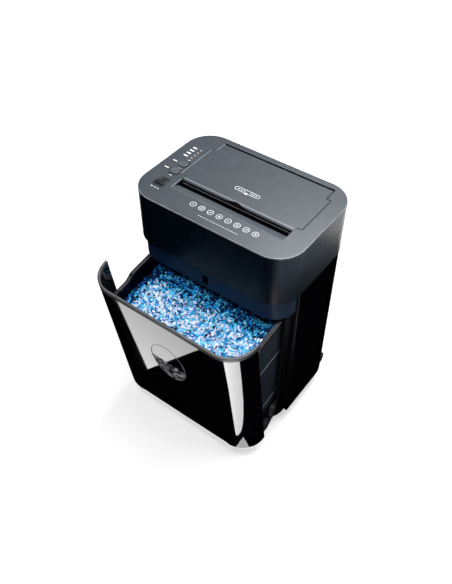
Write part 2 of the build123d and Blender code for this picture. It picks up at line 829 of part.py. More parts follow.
with BuildPart() as frame_screws:
    for seat, outwards in ((frame_outer_left, -1), (frame_right + frame_plate, 1)):
        with BuildSketch(across(seat)):
            with Locations(rod_spots):
                RegularPolygon(5, 6)
        extrude(amount=outwards * 2)
        with BuildSketch(across(seat)):
            with Locations(rod_spots):
                Circle(rod_screw_radius)
        extrude(amount=-outwards * frame_plate)
frame_screws.part.label = "frame_screws"
export_step(frame_screws.part, "parts/frame_screws.step")

# Flanged bushes that carry the two shafts
bush_flange = 1.5
with BuildPart() as cutter_bushes:
    for seat, inwards in ((frame_left, 1), (frame_right, -1)):
        for shaft_y in (front_cutter_y, rear_cutter_y):
            with BuildSketch(across(seat)):
                with Locations((shaft_y, cutter_height)):
                    Circle(bush_radius)
            extrude(amount=-inwards * frame_plate)
            with BuildSketch(across(seat)):
                with Locations((shaft_y, cutter_height)):
                    Circle(bush_radius + 2)
            extrude(amount=inwards * bush_flange)
            with BuildSketch(across(seat - inwards * frame_plate)):
                with Locations((shaft_y, cutter_height)):
                    Circle(journal_radius + running_fit)
            extrude(amount=inwards * (frame_plate + bush_flange), mode=Mode.SUBTRACT)
cutter_bushes.part.label = "cutter_bushes"
export_step(cutter_bushes.part, "parts/cutter_bushes.step")

# Hexagonal shafts with round journals, long enough for the gears at their left end
hex_radius = hex_flats / math.sqrt(3)
hex_left = frame_left + bush_flange + sliding_gap
hex_right = frame_right - bush_flange - sliding_gap
shaft_right = frame_right + frame_plate + 3


def cutter_shaft(shaft_y, left_end):
    """Hexagon between the plates, turned down to journals at both ends."""
    with BuildSketch(across(hex_left)) as hexagon:
        with Locations((shaft_y, cutter_height)):
            RegularPolygon(hex_radius, 6)
    extrude(hexagon.sketch, amount=hex_right - hex_left)
    with BuildSketch(across(left_end)) as journal:
        with Locations((shaft_y, cutter_height)):
            Circle(journal_radius)
    extrude(journal.sketch, amount=shaft_right - left_end)


with BuildPart() as front_cutter_shaft:
    cutter_shaft(front_cutter_y, timing_left - 1)
front_cutter_shaft.part.label = "front_cutter_shaft"
export_step(front_cutter_shaft.part, "parts/front_cutter_shaft.step")

with BuildPart() as rear_cutter_shaft:
    cutter_shaft(rear_cutter_y, driven_left - 1)
rear_cutter_shaft.part.label = "rear_cutter_shaft"
export_step(rear_cutter_shaft.part, "parts/rear_cutter_shaft.step")

# Rolls of toothed discs. Each disc turns a little further than the last, and the two rolls interleave.
roll_length = disc_count * disc_pitch + disc_pitch / 2 - 1
roll_left = (hex_left + hex_right - roll_length) / 2


def cutter_roll(shaft_y, first_disc, phase):
    """All discs of one shaft on their common hub, with the hexagonal bore."""
    with BuildSketch(across(roll_left)) as hub:
        with Locations((shaft_y, cutter_height)):
            RegularPolygon(disc_hub, 8)
    extrude(hub.sketch, amount=roll_length)
    for number in range(disc_count):
        with BuildSketch(across(first_disc + number * disc_pitch)) as disc:
            with Locations((shaft_y, cutter_height)):
                Polygon(*disc_points(phase * number), align=None)
        extrude(disc.sketch, amount=disc_thickness)
    with BuildSketch(across(roll_left)) as bore:
        with Locations((shaft_y, cutter_height)):
            RegularPolygon(hex_radius, 6)
    extrude(bore.sketch, amount=roll_length, mode=Mode.SUBTRACT)


with BuildPart() as front_cutter_discs:
    cutter_roll(front_cutter_y, roll_left, disc_phase)
front_cutter_discs.part.label = "front_cutter_discs"
export_step(front_cutter_discs.part, "parts/front_cutter_discs.step")

with BuildPart() as rear_cutter_discs:
    cutter_roll(rear_cutter_y, roll_left + disc_pitch / 2, -disc_phase)
rear_cutter_discs.part.label = "rear_cutter_discs"
export_step(rear_cutter_discs.part, "parts/rear_cutter_discs.step")

# Stripper combs whose fingers reach between the discs
comb_depth = 3.0
comb_bottom = cutter_height - 12
comb_height = 10.0
finger_width = disc_pitch - disc_thickness - 1.6
finger_reach = disc_hub + 1.5


def stripper_comb(spine_y, tip_y, first_disc):
    """Spine between the frame plates with one finger in each gap of its roll."""
    low, high = sorted((spine_y, spine_y + math.copysign(comb_depth, tip_y - spine_y)))
    with BuildSketch(Plane.XY.offset(comb_bottom)) as profile:
        field(frame_left, frame_right, low, high)
        for number in range(disc_count - 1):
            middle = first_disc + number * disc_pitch + (disc_thickness + disc_pitch) / 2
            field(middle - finger_width / 2, middle + finger_width / 2, *sorted((spine_y, tip_y)))
    extrude(profile.sketch, amount=comb_height)


with BuildPart() as front_stripper_comb:
    stripper_comb(plate_front + 0.2, front_cutter_y - finger_reach, roll_left)
front_stripper_comb.part.label = "front_stripper_comb"
export_step(front_stripper_comb.part, "parts/front_stripper_comb.step")

with BuildPart() as rear_stripper_comb:
    stripper_comb(rear_cutter_y + disc_radius + 3.5, rear_cutter_y + finger_reach, roll_left + disc_pitch / 2)
rear_stripper_comb.part.label = "rear_stripper_comb"
export_step(rear_stripper_comb.part, "parts/rear_stripper_comb.step")


# Gears, each with a tooth or a gap on the line to its mate
def spur_gear(left, width, center, teeth, module, first_angle, bore):
    """Toothed wheel between left and left + width, bored for its shaft."""
    with BuildSketch(across(left)) as profile:
        with Locations(center):
            Polygon(*gear_points(teeth, module, first_angle), align=None)
            Circle(bore, mode=Mode.SUBTRACT)
    extrude(profile.sketch, amount=width)


with BuildPart() as front_timing_gear:
    spur_gear(
        timing_left, gear_width, (front_cutter_y, cutter_height),
        timing_teeth, timing_module, 180 / timing_teeth, journal_radius,
    )
front_timing_gear.part.label = "front_timing_gear"
export_step(front_timing_gear.part, "parts/front_timing_gear.step")

with BuildPart() as rear_timing_gear:
    spur_gear(
        timing_left, gear_width, (rear_cutter_y, cutter_height),
        timing_teeth, timing_module, 180, journal_radius,
    )
rear_timing_gear.part.label = "rear_timing_gear"
export_step(rear_timing_gear.part, "parts/rear_timing_gear.step")

with BuildPart() as driven_gear:
    spur_gear(
        driven_left, gear_width, (rear_cutter_y, cutter_height),
        driven_teeth, drive_module, idler_angle, journal_radius,
    )
driven_gear.part.label = "driven_gear"
export_step(driven_gear.part, "parts/driven_gear.step")

with BuildPart() as idler_gear:
    small_gear_start = idler_angle + 180 + 180 / idler_small_teeth
    spur_gear(
        driven_left, gear_layer, (idler_y, idler_height),
        idler_small_teeth, drive_module, small_gear_start, stud_radius + running_fit,
    )
    spur_gear(
        idler_large_left, gear_width, (idler_y, idler_height),
        idler_large_teeth, motor_module, 0, stud_radius + running_fit,
    )
    with BuildSketch(across(idler_large_left + gear_width)):
        with Locations((idler_y, idler_height)):
            Circle(6.5)
            Circle(stud_radius + running_fit, mode=Mode.SUBTRACT)
    extrude(amount=gear_layer - gear_width)
idler_gear.part.label = "idler_gear"
export_step(idler_gear.part, "parts/idler_gear.step")

# Stud of the idler, headed at its outer end
with BuildPart() as idler_stud:
    with BuildSketch(across(idler_large_left - 2 * sliding_gap)):
        with Locations((idler_y, idler_height)):
            Circle(stud_radius)
    extrude(amount=frame_left - idler_large_left + 2 * sliding_gap)
    with BuildSketch(across(idler_large_left - 2 * sliding_gap)):
        with Locations((idler_y, idler_height)):
            Circle(stud_radius + 2)
    extrude(amount=-1.5)
idler_stud.part.label = "idler_stud"
export_step(idler_stud.part, "parts/idler_stud.step")

# Motor: can, end bells and front boss turned about its own axis
motor_bell = 10.0
motor_front = frame_left
with BuildPart() as motor_housing:
    with BuildSketch(Plane(origin=(motor_front, motor_y, motor_height), x_dir=(1, 0, 0), z_dir=(0, -1, 0))):
        Polygon(
            (-frame_plate, 0),
            (-frame_plate, motor_boss_radius),
            (0, motor_boss_radius),
            (0, motor_radius - 6),
            (motor_bell, motor_radius),
            (motor_length - motor_bell, motor_radius),
            (motor_length, motor_radius - 8),
            (motor_length, 7),
            (motor_length + 4, 7),
            (motor_length + 4, 0),
            align=None,
        )
    revolve(axis=Axis((0, motor_y, motor_height), (1, 0, 0)))
    with BuildSketch(across(motor_front - frame_plate)):
        with Locations((motor_y, motor_height)):
            Circle(motor_shaft_radius + running_fit)
    extrude(amount=frame_plate + motor_bell, mode=Mode.SUBTRACT)
motor_housing.part.label = "motor_housing"
export_step(motor_housing.part, "parts/motor_housing.step")

with BuildPart() as motor_shaft:
    with BuildSketch(across(idler_large_left - 1)):
        with Locations((motor_y, motor_height)):
            Circle(motor_shaft_radius)
    extrude(amount=motor_front + motor_bell - sliding_gap - idler_large_left + 1)
motor_shaft.part.label = "motor_shaft"
export_step(motor_shaft.part, "parts/motor_shaft.step")

with BuildPart() as motor_pinion:
    spur_gear(
        idler_large_left, gear_width, (motor_y, motor_height),
        pinion_teeth, motor_module, 180 + 180 / pinion_teeth, motor_shaft_radius,
    )
motor_pinion.part.label = "motor_pinion"
export_step(motor_pinion.part, "parts/motor_pinion.step")

# Interlock switch behind the notch of the neck, open at the front for the bin's tongue
tongue_half_width = 4.0
tongue_bottom = notch_bottom + 5
tongue_top = notch_top - 5
tongue_end = neck_front + neck_wall + 6.5
with BuildPart() as safety_switch:
    with BuildSketch(Plane.XY.offset(neck_floor_top)):
        field(-10, 10, neck_front + neck_wall, chute_front - 0.5)
    extrude(amount=notch_top + 4 - neck_floor_top)
    with BuildSketch(along(neck_front + neck_wall)):
        field(-notch_half_width, notch_half_width, notch_bottom, notch_top)
    extrude(amount=-(tongue_end + 1.5 - neck_front - neck_wall), mode=Mode.SUBTRACT)
safety_switch.part.label = "safety_switch"
export_step(safety_switch.part, "parts/safety_switch.step")

# Castors: fork with stem and axle, and the wheel that turns on it
cheek_inner = wheel_width / 2 + 0.6
cheek = 2.0
for spot, (stem_x, stem_y, trail_side) in castor_spots.items():
    wheel_y = stem_y + trail_side * castor_trail
    with BuildPart() as castor_fork:
        with BuildSketch(Plane.XY.offset(bridge_bottom)):
            with Locations((stem_x, stem_y)):
                Circle(cheek_inner + cheek)
            with Locations((stem_x, (stem_y + wheel_y) / 2)):
                Rectangle(2 * (cheek_inner + cheek), castor_trail)
        extrude(amount=bridge_top - bridge_bottom)
        for cheek_x in (stem_x - cheek_inner - cheek, stem_x + cheek_inner):
            with BuildSketch(across(cheek_x)):
                with Locations((wheel_y, wheel_radius)):
                    Circle(axle_radius + 3)
                field(*sorted((stem_y, wheel_y)), bridge_bottom, bridge_top)
                make_hull()
            extrude(amount=cheek)
        with BuildSketch(across(stem_x - cheek_inner)):
            with Locations((wheel_y, wheel_radius)):
                Circle(axle_radius)
        extrude(amount=2 * cheek_inner)
        with BuildSketch(Plane.XY.offset(bridge_top)):
            with Locations((stem_x, stem_y)):
                Circle(stem_radius)
        extrude(amount=socket_top - bridge_top)
    castor_fork.part.label = f"castor_fork_{spot}"
    export_step(castor_fork.part, f"parts/castor_fork_{spot}.step")

    with BuildPart() as castor_wheel:
        with BuildSketch(across(stem_x - wheel_width / 2)):
            with Locations((wheel_y, wheel_radius)):
                Circle(wheel_radius)
        extrude(amount=wheel_width)
        fillet(castor_wheel.edges(), 2)
        with BuildSketch(across(stem_x - wheel_width / 2)):
            with Locations((wheel_y, wheel_radius)):
                Circle(axle_radius + running_fit)
        extrude(amount=wheel_width, mode=Mode.SUBTRACT)
    castor_wheel.part.label = f"castor_wheel_{spot}"
    export_step(castor_wheel.part, f"parts/castor_wheel_{spot}.step")

# Glide frame of the bin: two shoes on the base, joined by a flat bar, and the bores for the trunnions
shoe_outer = pillar_inner - sliding_gap
shoe_height = 2 * (pivot_height - base_top) - 2 * sliding_gap
with BuildPart() as bin_glide:
    for side in (-1, 1):
        limits = sorted((side * shoe_inner, side * shoe_outer))
        with BuildSketch(across(limits[0])):
            with Locations((pivot_home_y, pivot_height)):
                RectangleRounded(2 * shoe_half_length, shoe_height, 6)
        extrude(amount=limits[1] - limits[0])
    with BuildSketch(Plane.XY.offset(base_top + guide_rib + sliding_gap)):
        field(-shoe_inner, shoe_inner, pivot_home_y - 6, pivot_home_y + 6)
    extrude(amount=glide_bar)
    with BuildSketch(across(-shoe_outer)):
        with Locations((pivot_home_y, pivot_height)):
            Circle(trunnion_radius + running_fit)
    extrude(amount=2 * shoe_outer, mode=Mode.SUBTRACT)
bin_glide.part.move(Pos(0, -bin_travel, 0))
bin_glide.part.label = "bin_glide"
export_step(bin_glide.part, "parts/bin_glide.step")


def rim_line(drop):
    """Line of the tub's rim seen from the side, lowered by drop: high, a double bend, low at the front."""
    middle = ((rim_drop_back + rim_drop_front) / 2, tub_rim - rim_drop / 2 - drop)
    high_end = (rim_drop_back, tub_rim - drop)
    low_end = (rim_drop_front, tub_rim - rim_drop - drop)
    Line((half_depth, tub_rim - drop), high_end)
    TangentArc(high_end, middle, tangent=(-1, 0))
    TangentArc(low_end, middle, tangent=(1, 0))
    Line(low_end, (-half_depth, tub_rim - rim_drop - drop))


# Rim flange of the tub, which dips towards the front
with BuildPart() as rim_flange:
    with BuildSketch(Plane.XY.offset(tub_rim - rim_drop - rim_thickness)):
        tub_plan(tub_half_width - rim_half_width)
        tub_plan(tub_wall, mode=Mode.SUBTRACT)
    extrude(amount=rim_drop + rim_thickness)
    with BuildSketch(across(-half_width)):
        with BuildLine():
            rim_line(0)
            rim_line(rim_thickness)
            for end_y, end_drop in ((half_depth, 0), (-half_depth, rim_drop)):
                Line((end_y, tub_rim - end_drop), (end_y, tub_rim - end_drop - rim_thickness))
        make_face()
    extrude(amount=head_width, mode=Mode.INTERSECT)

# Tub: walls that narrow at each ledge, bosses that carry the door, opening behind the window
ledges = (tub_floor, *(tub_floor + rise for rise in tub_ledge_rises), tub_rim)
door_inner = -half_depth + door_wall
boss_spots = [(x, z) for x in (-boss_x, boss_x) for z in (tub_floor + boss_x / 2, tub_rim - boss_x / 2)]
window_spot = (0, window_center_height)
with BuildPart() as bin_tub:
    for level, (low, high) in enumerate(zip(ledges, ledges[1:])):
        with BuildSketch(Plane.XY.offset(low)):
            tub_plan(tub_step * (2 - level))
        extrude(amount=high - low)
    for level, (low, high) in enumerate(zip(ledges, ledges[1:])):
        lift = tub_wall if level == 0 else 0
        with BuildSketch(Plane.XY.offset(low + lift)):
            tub_plan(tub_step * (2 - level) + tub_wall)
        extrude(amount=high - low - lift, mode=Mode.SUBTRACT)
    with BuildSketch(across(-half_width)):
        with BuildLine():
            rim_line(0)
            Polyline(
                (half_depth, tub_rim), (half_depth, head_bottom),
                (-half_depth, head_bottom), (-half_depth, tub_rim - rim_drop),
            )
        make_face()
    extrude(amount=head_width, mode=Mode.SUBTRACT)
    add(rim_flange.part)
    with BuildSketch(along(tub_front + 2 * tub_step)):
        with Locations(boss_spots):
            Circle(boss_radius)
    extrude(amount=tub_front + 2 * tub_step - door_inner)
    with BuildSketch(along(tub_front)):
        with Locations(window_spot):
            Ellipse(window_width / 2, window_height / 2)
    extrude(amount=-2 * tub_wall - tub_step, mode=Mode.SUBTRACT)

# Trunnions on the tub's sides
with BuildPart() as bin_trunnions:
    for side in (-1, 1):
        seat = side * (tub_half_width - 2 * tub_step)
        with BuildSketch(across(seat)):
            with Locations((pivot_home_y, pivot_height)):
                Circle(2 * trunnion_radius)
        extrude(amount=side * trunnion_flange)
        with BuildSketch(across(seat)):
            with Locations((pivot_home_y, pivot_height)):
                Circle(trunnion_radius)
        extrude(amount=side * (shoe_outer - sliding_gap) - seat)

# Front panel: a shell with rounded returns, a rolled lower edge and a thick lip along the front
with BuildPart() as bin_front_panel:
    with BuildSketch(Plane.XY.offset(door_bottom)):
        outline(0)
        field(-half_width, half_width, -half_depth, door_return, mode=Mode.INTERSECT)
    extrude(amount=door_top - grip_height - door_bottom)
    lower_edges = bin_front_panel.faces().sort_by(Axis.Z)[0].edges().sort_by(Axis.Y)
    fillet(lower_edges[:-1], door_roll)
    with BuildSketch(Plane.XY.offset(door_bottom)):
        outline(door_wall)
        field(-half_width, half_width, -half_depth + door_lip_depth, door_return, mode=Mode.INTERSECT)
    extrude(amount=door_top - door_bottom, mode=Mode.SUBTRACT)
    with BuildSketch(Plane.XY.offset(door_bottom + door_lip_depth + 1)):
        outline(door_wall)
        field(-half_width, half_width, -half_depth, door_return, mode=Mode.INTERSECT)
    extrude(amount=door_top - door_bottom, mode=Mode.SUBTRACT)
    with BuildSketch(along(-half_depth)):
        with Locations(window_spot):
            Ellipse(window_width / 2, window_height / 2)
    extrude(amount=-door_wall, mode=Mode.SUBTRACT)

# Grip rim along the top of the front panel
with BuildPart() as panel_grip_rim:
    with BuildSketch(Plane.XY.offset(door_top - grip_height)):
        wall_ring(0, grip_wall)
        field(-half_width, half_width, -half_depth, door_return, mode=Mode.INTERSECT)
    extrude(amount=grip_height)
    rim_edges = panel_grip_rim.faces().sort_by(Axis.Z)[-1].edges()
    fillet(rim_edges.filter_by(lambda edge: edge.length > grip_wall + 1), grip_wall / 4)

# Oval window: a flush pane with a collar that reaches through the tub's front wall
with BuildPart() as bin_window:
    with BuildSketch(along(-half_depth + window_recess)):
        with Locations(window_spot):
            Ellipse(window_width / 2, window_height / 2)
    extrude(amount=-(tub_front + tub_wall + half_depth - window_recess))
    with BuildSketch(along(tub_front + tub_wall)):
        with Locations(window_spot):
            Ellipse(window_width / 2 - tub_wall, window_height / 2 - tub_wall)
    extrude(amount=tub_front + tub_wall + half_depth - window_recess - tub_wall, mode=Mode.SUBTRACT)

# Tongue that works the interlock switch
with BuildPart() as interlock_tongue:
    with BuildSketch(along(door_inner)):
        field(-tongue_half_width, tongue_half_width, tongue_bottom, tongue_top)
    extrude(amount=-(tongue_end - door_inner))

# Shreds heaped in the tub: level across it with a sloped edge, and falling away to the left wall
heap_shoulder = heap_height - heap_crown
heap_levels = (
    tub_floor + tub_wall + sliding_gap,
    *(tub_floor + rise + sliding_gap for rise in tub_ledge_rises),
    heap_shoulder,
)
heap_inset = tub_wall + sliding_gap
with BuildPart() as paper_shreds:
    for level, (low, high) in enumerate(zip(heap_levels, heap_levels[1:])):
        with BuildSketch(Plane.XY.offset(low)):
            tub_plan(tub_step * (2 - level) + heap_inset)
        extrude(amount=high - low)
    with BuildSketch(Plane.XY.offset(heap_shoulder)):
        tub_plan(heap_inset)
    extrude(amount=heap_crown, taper=heap_crown_taper)
    with BuildSketch(along(tub_front)):
        Polygon(
            (-tub_half_width, heap_height - heap_left_drop),
            (-tub_half_width + heap_left_run, heap_height),
            (-tub_half_width, heap_height),
            align=None,
        )
    extrude(amount=tub_front - tub_back, mode=Mode.SUBTRACT)

# The bin as a whole stands drawn out and tipped forward
for name, piece in (
    ("bin_tub", bin_tub),
    ("bin_trunnions", bin_trunnions),
    ("bin_front_panel", bin_front_panel),
    ("panel_grip_rim", panel_grip_rim),
    ("bin_window", bin_window),
    ("interlock_tongue", interlock_tongue),
    ("paper_shreds", paper_shreds),
):
    piece.part.move(bin_rest_pose)
    piece.part.label = name
    export_step(piece.part, f"parts/{name}.step")
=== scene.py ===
import json
import logging
import math
from dataclasses import dataclass, field
from enum import Enum

import bmesh
import bpy
import numpy as np
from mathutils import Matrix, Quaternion, Vector


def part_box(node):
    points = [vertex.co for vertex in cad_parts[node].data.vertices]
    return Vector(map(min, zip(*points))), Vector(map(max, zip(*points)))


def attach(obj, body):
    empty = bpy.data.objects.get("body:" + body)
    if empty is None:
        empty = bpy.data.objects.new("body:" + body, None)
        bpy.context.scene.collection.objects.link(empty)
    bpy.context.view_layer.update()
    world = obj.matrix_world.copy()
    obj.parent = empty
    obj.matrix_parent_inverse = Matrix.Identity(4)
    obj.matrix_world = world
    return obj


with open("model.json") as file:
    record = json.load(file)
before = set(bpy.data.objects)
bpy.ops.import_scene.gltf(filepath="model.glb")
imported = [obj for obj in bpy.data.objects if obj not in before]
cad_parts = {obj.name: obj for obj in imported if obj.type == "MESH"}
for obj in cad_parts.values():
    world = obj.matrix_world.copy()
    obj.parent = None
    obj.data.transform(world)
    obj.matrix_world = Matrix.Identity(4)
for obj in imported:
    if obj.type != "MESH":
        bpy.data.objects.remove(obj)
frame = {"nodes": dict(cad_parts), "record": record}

LOG = logging.getLogger("shredder")
MM = 0.001
SEED = 20517
SHARP_ANGLE = math.radians(40)
WHITE = (1.0, 1.0, 1.0, 1.0)

Color = tuple[float, float, float, float]
Pair = tuple[float, float]
Skin = tuple[np.ndarray, list]
Socket = bpy.types.NodeSocket


def srgb(*levels: float) -> Color:
    """Turn screen levels into a linear colour.

    Args:
        levels: red, green and blue from 0 to 255.

    Returns:
        The linear colour with an alpha of 1.
    """
    unit = np.array(levels) / 255.0
    linear = np.where(unit <= 0.04045, unit / 12.92, ((unit + 0.055) / 1.055) ** 2.4)
    return (*linear.tolist(), 1.0)


class Graph:
    """Adds and links the nodes of one shader tree."""

    def __init__(self, tree: bpy.types.NodeTree) -> None:
        """Keep the tree that nodes are added to."""
        self.tree = tree

    def add(self, kind: str, inputs: dict | None = None, **settings) -> bpy.types.Node:
        """Add one node.

        Args:
            kind: Blender's class name of the node.
            inputs: socket name or index to a value, or to a socket that is linked to it.
            settings: the node's own properties.

        Returns:
            The new node.
        """
        node = self.tree.nodes.new(kind)
        for key, value in settings.items():
            setattr(node, key, value)
        for key, value in (inputs or {}).items():
            if isinstance(value, bpy.types.NodeSocket):
                self.tree.links.new(value, node.inputs[key])
            else:
                node.inputs[key].default_value = value
        return node

    def math(self, operation: str, first, second=0.0, clamp: bool = False) -> Socket:
        """Add a Math node and return its value socket."""
        settings = {"operation": operation, "use_clamp": clamp}
        return self.add("ShaderNodeMath", {0: first, 1: second}, **settings).outputs[0]

    def link(self, value: Socket, node: bpy.types.Node, name: str) -> None:
        """Link a socket to a node's named input."""
        self.tree.links.new(value, node.inputs[name])

    def spread(self, value, given: Pair, wanted: Pair = (0.0, 1.0)) -> Socket:
        """Map a value from one range to another, clamped, and return its socket."""
        names = ("From Min", "From Max", "To Min", "To Max")
        return self.add("ShaderNodeMapRange", {"Value": value, **dict(zip(names, given + wanted))}).outputs[0]

    def mix(self, factor, first, second) -> Socket:
        """Mix two colours and return the colour socket."""
        inputs = {"Factor": factor, 6: first, 7: second}
        return self.add("ShaderNodeMix", inputs, data_type="RGBA").outputs[2]

    def place(self) -> Socket:
        """Return the socket of the object's own coordinates."""
        return self.add("ShaderNodeTexCoord").outputs["Object"]

    def normal(self) -> Socket:
        """Return the socket of the true surface normal."""
        return self.add("ShaderNodeNewGeometry").outputs["Normal"]

    def axis(self, vector: Socket, name: str) -> Socket:
        """Return the socket of one axis of a vector."""
        return self.add("ShaderNodeSeparateXYZ", {0: vector}).outputs[name]

    def noise(self, vector: Socket, scale, detail: float, roughness: float = 0.5) -> Socket:
        """Add a noise texture and return its value socket."""
        inputs = {"Vector": vector, "Scale": scale, "Detail": detail, "Roughness": roughness}
        return self.add("ShaderNodeTexNoise", inputs).outputs[0]


def new_material(name: str) -> tuple[bpy.types.Material, Graph, bpy.types.Node]:
    """Make a material with nodes.

    Args:
        name: the material's name.

    Returns:
        The material, its graph and its Principled node.
    """
    material = bpy.data.materials.new(name)
    material.use_nodes = True
    return material, Graph(material.node_tree), material.node_tree.nodes["Principled BSDF"]


class Effect(Enum):
    """Shader effects that several finishes share, by the name of their node group."""

    GRAIN = "mould_grain"
    EDGES = "edge_light"
    DUST = "settled_dust"
    FIBRE = "paper_fibre"


@dataclass
class Effects:
    """Builds each shared effect once, as a node group that gives masks and heights."""

    pit_share: float = 0.5
    drift_scale: float = 14.0
    edge_range: Pair = (0.985, 0.80)
    dust_scale: float = 55.0
    dust_slope: Pair = (0.5, 1.0)
    dust_range: Pair = (0.45, 0.75)
    mottle_scale: float = 160.0
    made: dict[Effect, bpy.types.NodeTree] = field(default_factory=dict)

    def group(self, effect: Effect) -> bpy.types.NodeTree:
        """Return the effect's node group, made at its first use.

        Args:
            effect: the effect wanted.

        Returns:
            Its node group.
        """
        makers = {
            Effect.GRAIN: self._grain, Effect.EDGES: self._edges,
            Effect.DUST: self._dust, Effect.FIBRE: self._fibre,
        }
        if effect not in self.made:
            self.made[effect] = makers[effect](effect)
        return self.made[effect]

    def _start(self, effect: Effect, name: str, usual: float, outputs: tuple) -> tuple:
        """Make a group with one float input.

        Args:
            effect: names the group.
            name: the input's name.
            usual: the input's usual value.
            outputs: output names.

        Returns:
            The group's graph, the input's socket and the group's output node.
        """
        tree = bpy.data.node_groups.new(effect.value, "ShaderNodeTree")
        kind = {"socket_type": "NodeSocketFloat"}
        tree.interface.new_socket(name, in_out="INPUT", **kind).default_value = usual
        for output in outputs:
            tree.interface.new_socket(output, in_out="OUTPUT", **kind)
        graph = Graph(tree)
        return graph, graph.add("NodeGroupInput").outputs[name], graph.add("NodeGroupOutput")

    def _grain(self, effect: Effect) -> bpy.types.NodeTree:
        """Spark-eroded mould grain: fine noise over rounder pits, and a slow drift of tone.

        Args:
            effect: names the group.

        Returns:
            The node group.
        """
        graph, scale, out = self._start(effect, "Scale", 900.0, ("Height", "Tone"))
        place = graph.place()
        pits = graph.add("ShaderNodeTexVoronoi", {"Vector": place, "Scale": scale}).outputs["Distance"]
        deep = graph.math("MULTIPLY", pits, self.pit_share)
        graph.link(graph.math("ADD", graph.noise(place, scale, 2.0), deep), out, "Height")
        graph.link(graph.noise(place, self.drift_scale, 3.0), out, "Tone")
        return graph.tree

    def _edges(self, effect: Effect) -> bpy.types.NodeTree:
        """Mask that is 1 on convex and concave edges: how far the bevelled normal leaves the true one.

        Args:
            effect: names the group.

        Returns:
            The node group.
        """
        graph, radius, out = self._start(effect, "Radius", 0.0008, ("Mask",))
        bevel = graph.add("ShaderNodeBevel", {"Radius": radius}, samples=4).outputs[0]
        inputs = {0: bevel, 1: graph.normal()}
        dot = graph.add("ShaderNodeVectorMath", inputs, operation="DOT_PRODUCT").outputs["Value"]
        graph.link(graph.spread(dot, self.edge_range), out, "Mask")
        return graph.tree

    def _dust(self, effect: Effect) -> bpy.types.NodeTree:
        """Thin dust that lies on faces that look up, broken by noise.

        Args:
            effect: names the group.

        Returns:
            The node group.
        """
        graph, amount, out = self._start(effect, "Amount", 0.2, ("Mask",))
        lying = graph.spread(graph.axis(graph.normal(), "Z"), self.dust_slope)
        patchy = graph.spread(graph.noise(graph.place(), self.dust_scale, 6.0, 0.7), self.dust_range)
        mask = graph.math("MULTIPLY", graph.math("MULTIPLY", lying, patchy), amount, clamp=True)
        graph.link(mask, out, "Mask")
        return graph.tree

    def _fibre(self, effect: Effect) -> bpy.types.NodeTree:
        """Fibres of paper: fine noise as height and a coarser mottle as tone.

        Args:
            effect: names the group.

        Returns:
            The node group.
        """
        graph, scale, out = self._start(effect, "Scale", 700.0, ("Height", "Tone"))
        place = graph.place()
        graph.link(graph.noise(place, scale, 4.0), out, "Height")
        graph.link(graph.noise(place, self.mottle_scale, 2.0), out, "Tone")
        return graph.tree


EFFECTS = Effects()


@dataclass(frozen=True)
class Finish:
    """A surface finish that makes one material."""

    name: str
    color: Color
    roughness: float = 0.5

    def start(self, **constants: float) -> tuple[bpy.types.Material, Graph, bpy.types.Node]:
        """Make the material with its shader.

        Args:
            constants: shader inputs that are the same all over, with _ for a space.

        Returns:
            The material, its graph and its Principled node.
        """
        material, graph, shader = new_material(self.name)
        shader.inputs["Base Color"].default_value = self.color
        shader.inputs["Roughness"].default_value = self.roughness
        for key, value in constants.items():
            shader.inputs[key.replace("_", " ")].default_value = value
        return material, graph, shader

    def scaled(self, factor: float) -> Color:
        """Return the colour made lighter or darker by a factor."""
        return (*(min(1.0, level * factor) for level in self.color[:3]), 1.0)

    def around(self, below: float, above: float) -> Pair:
        """Return a range of roughness about the finish's own."""
        return self.roughness - below, min(1.0, self.roughness + above)

    def effect(self, graph: Graph, effect: Effect, **inputs: float) -> bpy.types.NodeOutputs:
        """Place a shared effect in this material.

        Args:
            graph: the material's graph.
            effect: the effect to place.
            inputs: the effect's own values here.

        Returns:
            The effect's outputs.
        """
        return graph.add("ShaderNodeGroup", inputs, node_tree=EFFECTS.group(effect)).outputs

    def bump(self, graph: Graph, shader: bpy.types.Node, height: Socket, depth: float) -> None:
        """Feed a height in metres of depth to the shader's normal."""
        node = graph.add("ShaderNodeBump", {"Strength": 1.0, "Distance": depth, "Height": height})
        graph.link(node.outputs[0], shader, "Normal")


@dataclass(frozen=True)
class MouldedPlastic(Finish):
    """Plastic with mould grain, lighter edges (partly wear, partly painted highlight) and a little dust."""

    grain_scale: float = 900.0
    grain_depth: float = 0.00006
    edge_color: Color = srgb(150, 156, 162)
    edge_amount: float = 0.35
    edge_radius: float = 0.0007
    dust: float = 0.10
    dust_color: Color = srgb(168, 170, 172)
    tone: float = 0.12
    specular: float = 0.5

    def material(self) -> bpy.types.Material:
        """Build the material.

        Returns:
            The material.
        """
        material, graph, shader = self.start(Specular_IOR_Level=self.specular)
        grain = self.effect(graph, Effect.GRAIN, Scale=self.grain_scale)
        edges = self.effect(graph, Effect.EDGES, Radius=self.edge_radius)
        dust = self.effect(graph, Effect.DUST, Amount=self.dust)
        tone = graph.spread(grain["Tone"], (0.3, 0.7))
        body = graph.mix(tone, self.scaled(1 - self.tone), self.scaled(1 + self.tone))
        # Convex and concave edges lightened: partly wear, partly painted highlight.
        worn_and_lit = graph.mix(graph.math("MULTIPLY", edges["Mask"], self.edge_amount), body, self.edge_color)
        graph.link(graph.mix(dust["Mask"], worn_and_lit, self.dust_color), shader, "Base Color")
        graph.link(graph.spread(grain["Height"], (0.3, 1.0), self.around(0.05, 0.07)), shader, "Roughness")
        self.bump(graph, shader, grain["Height"], self.grain_depth)
        return material


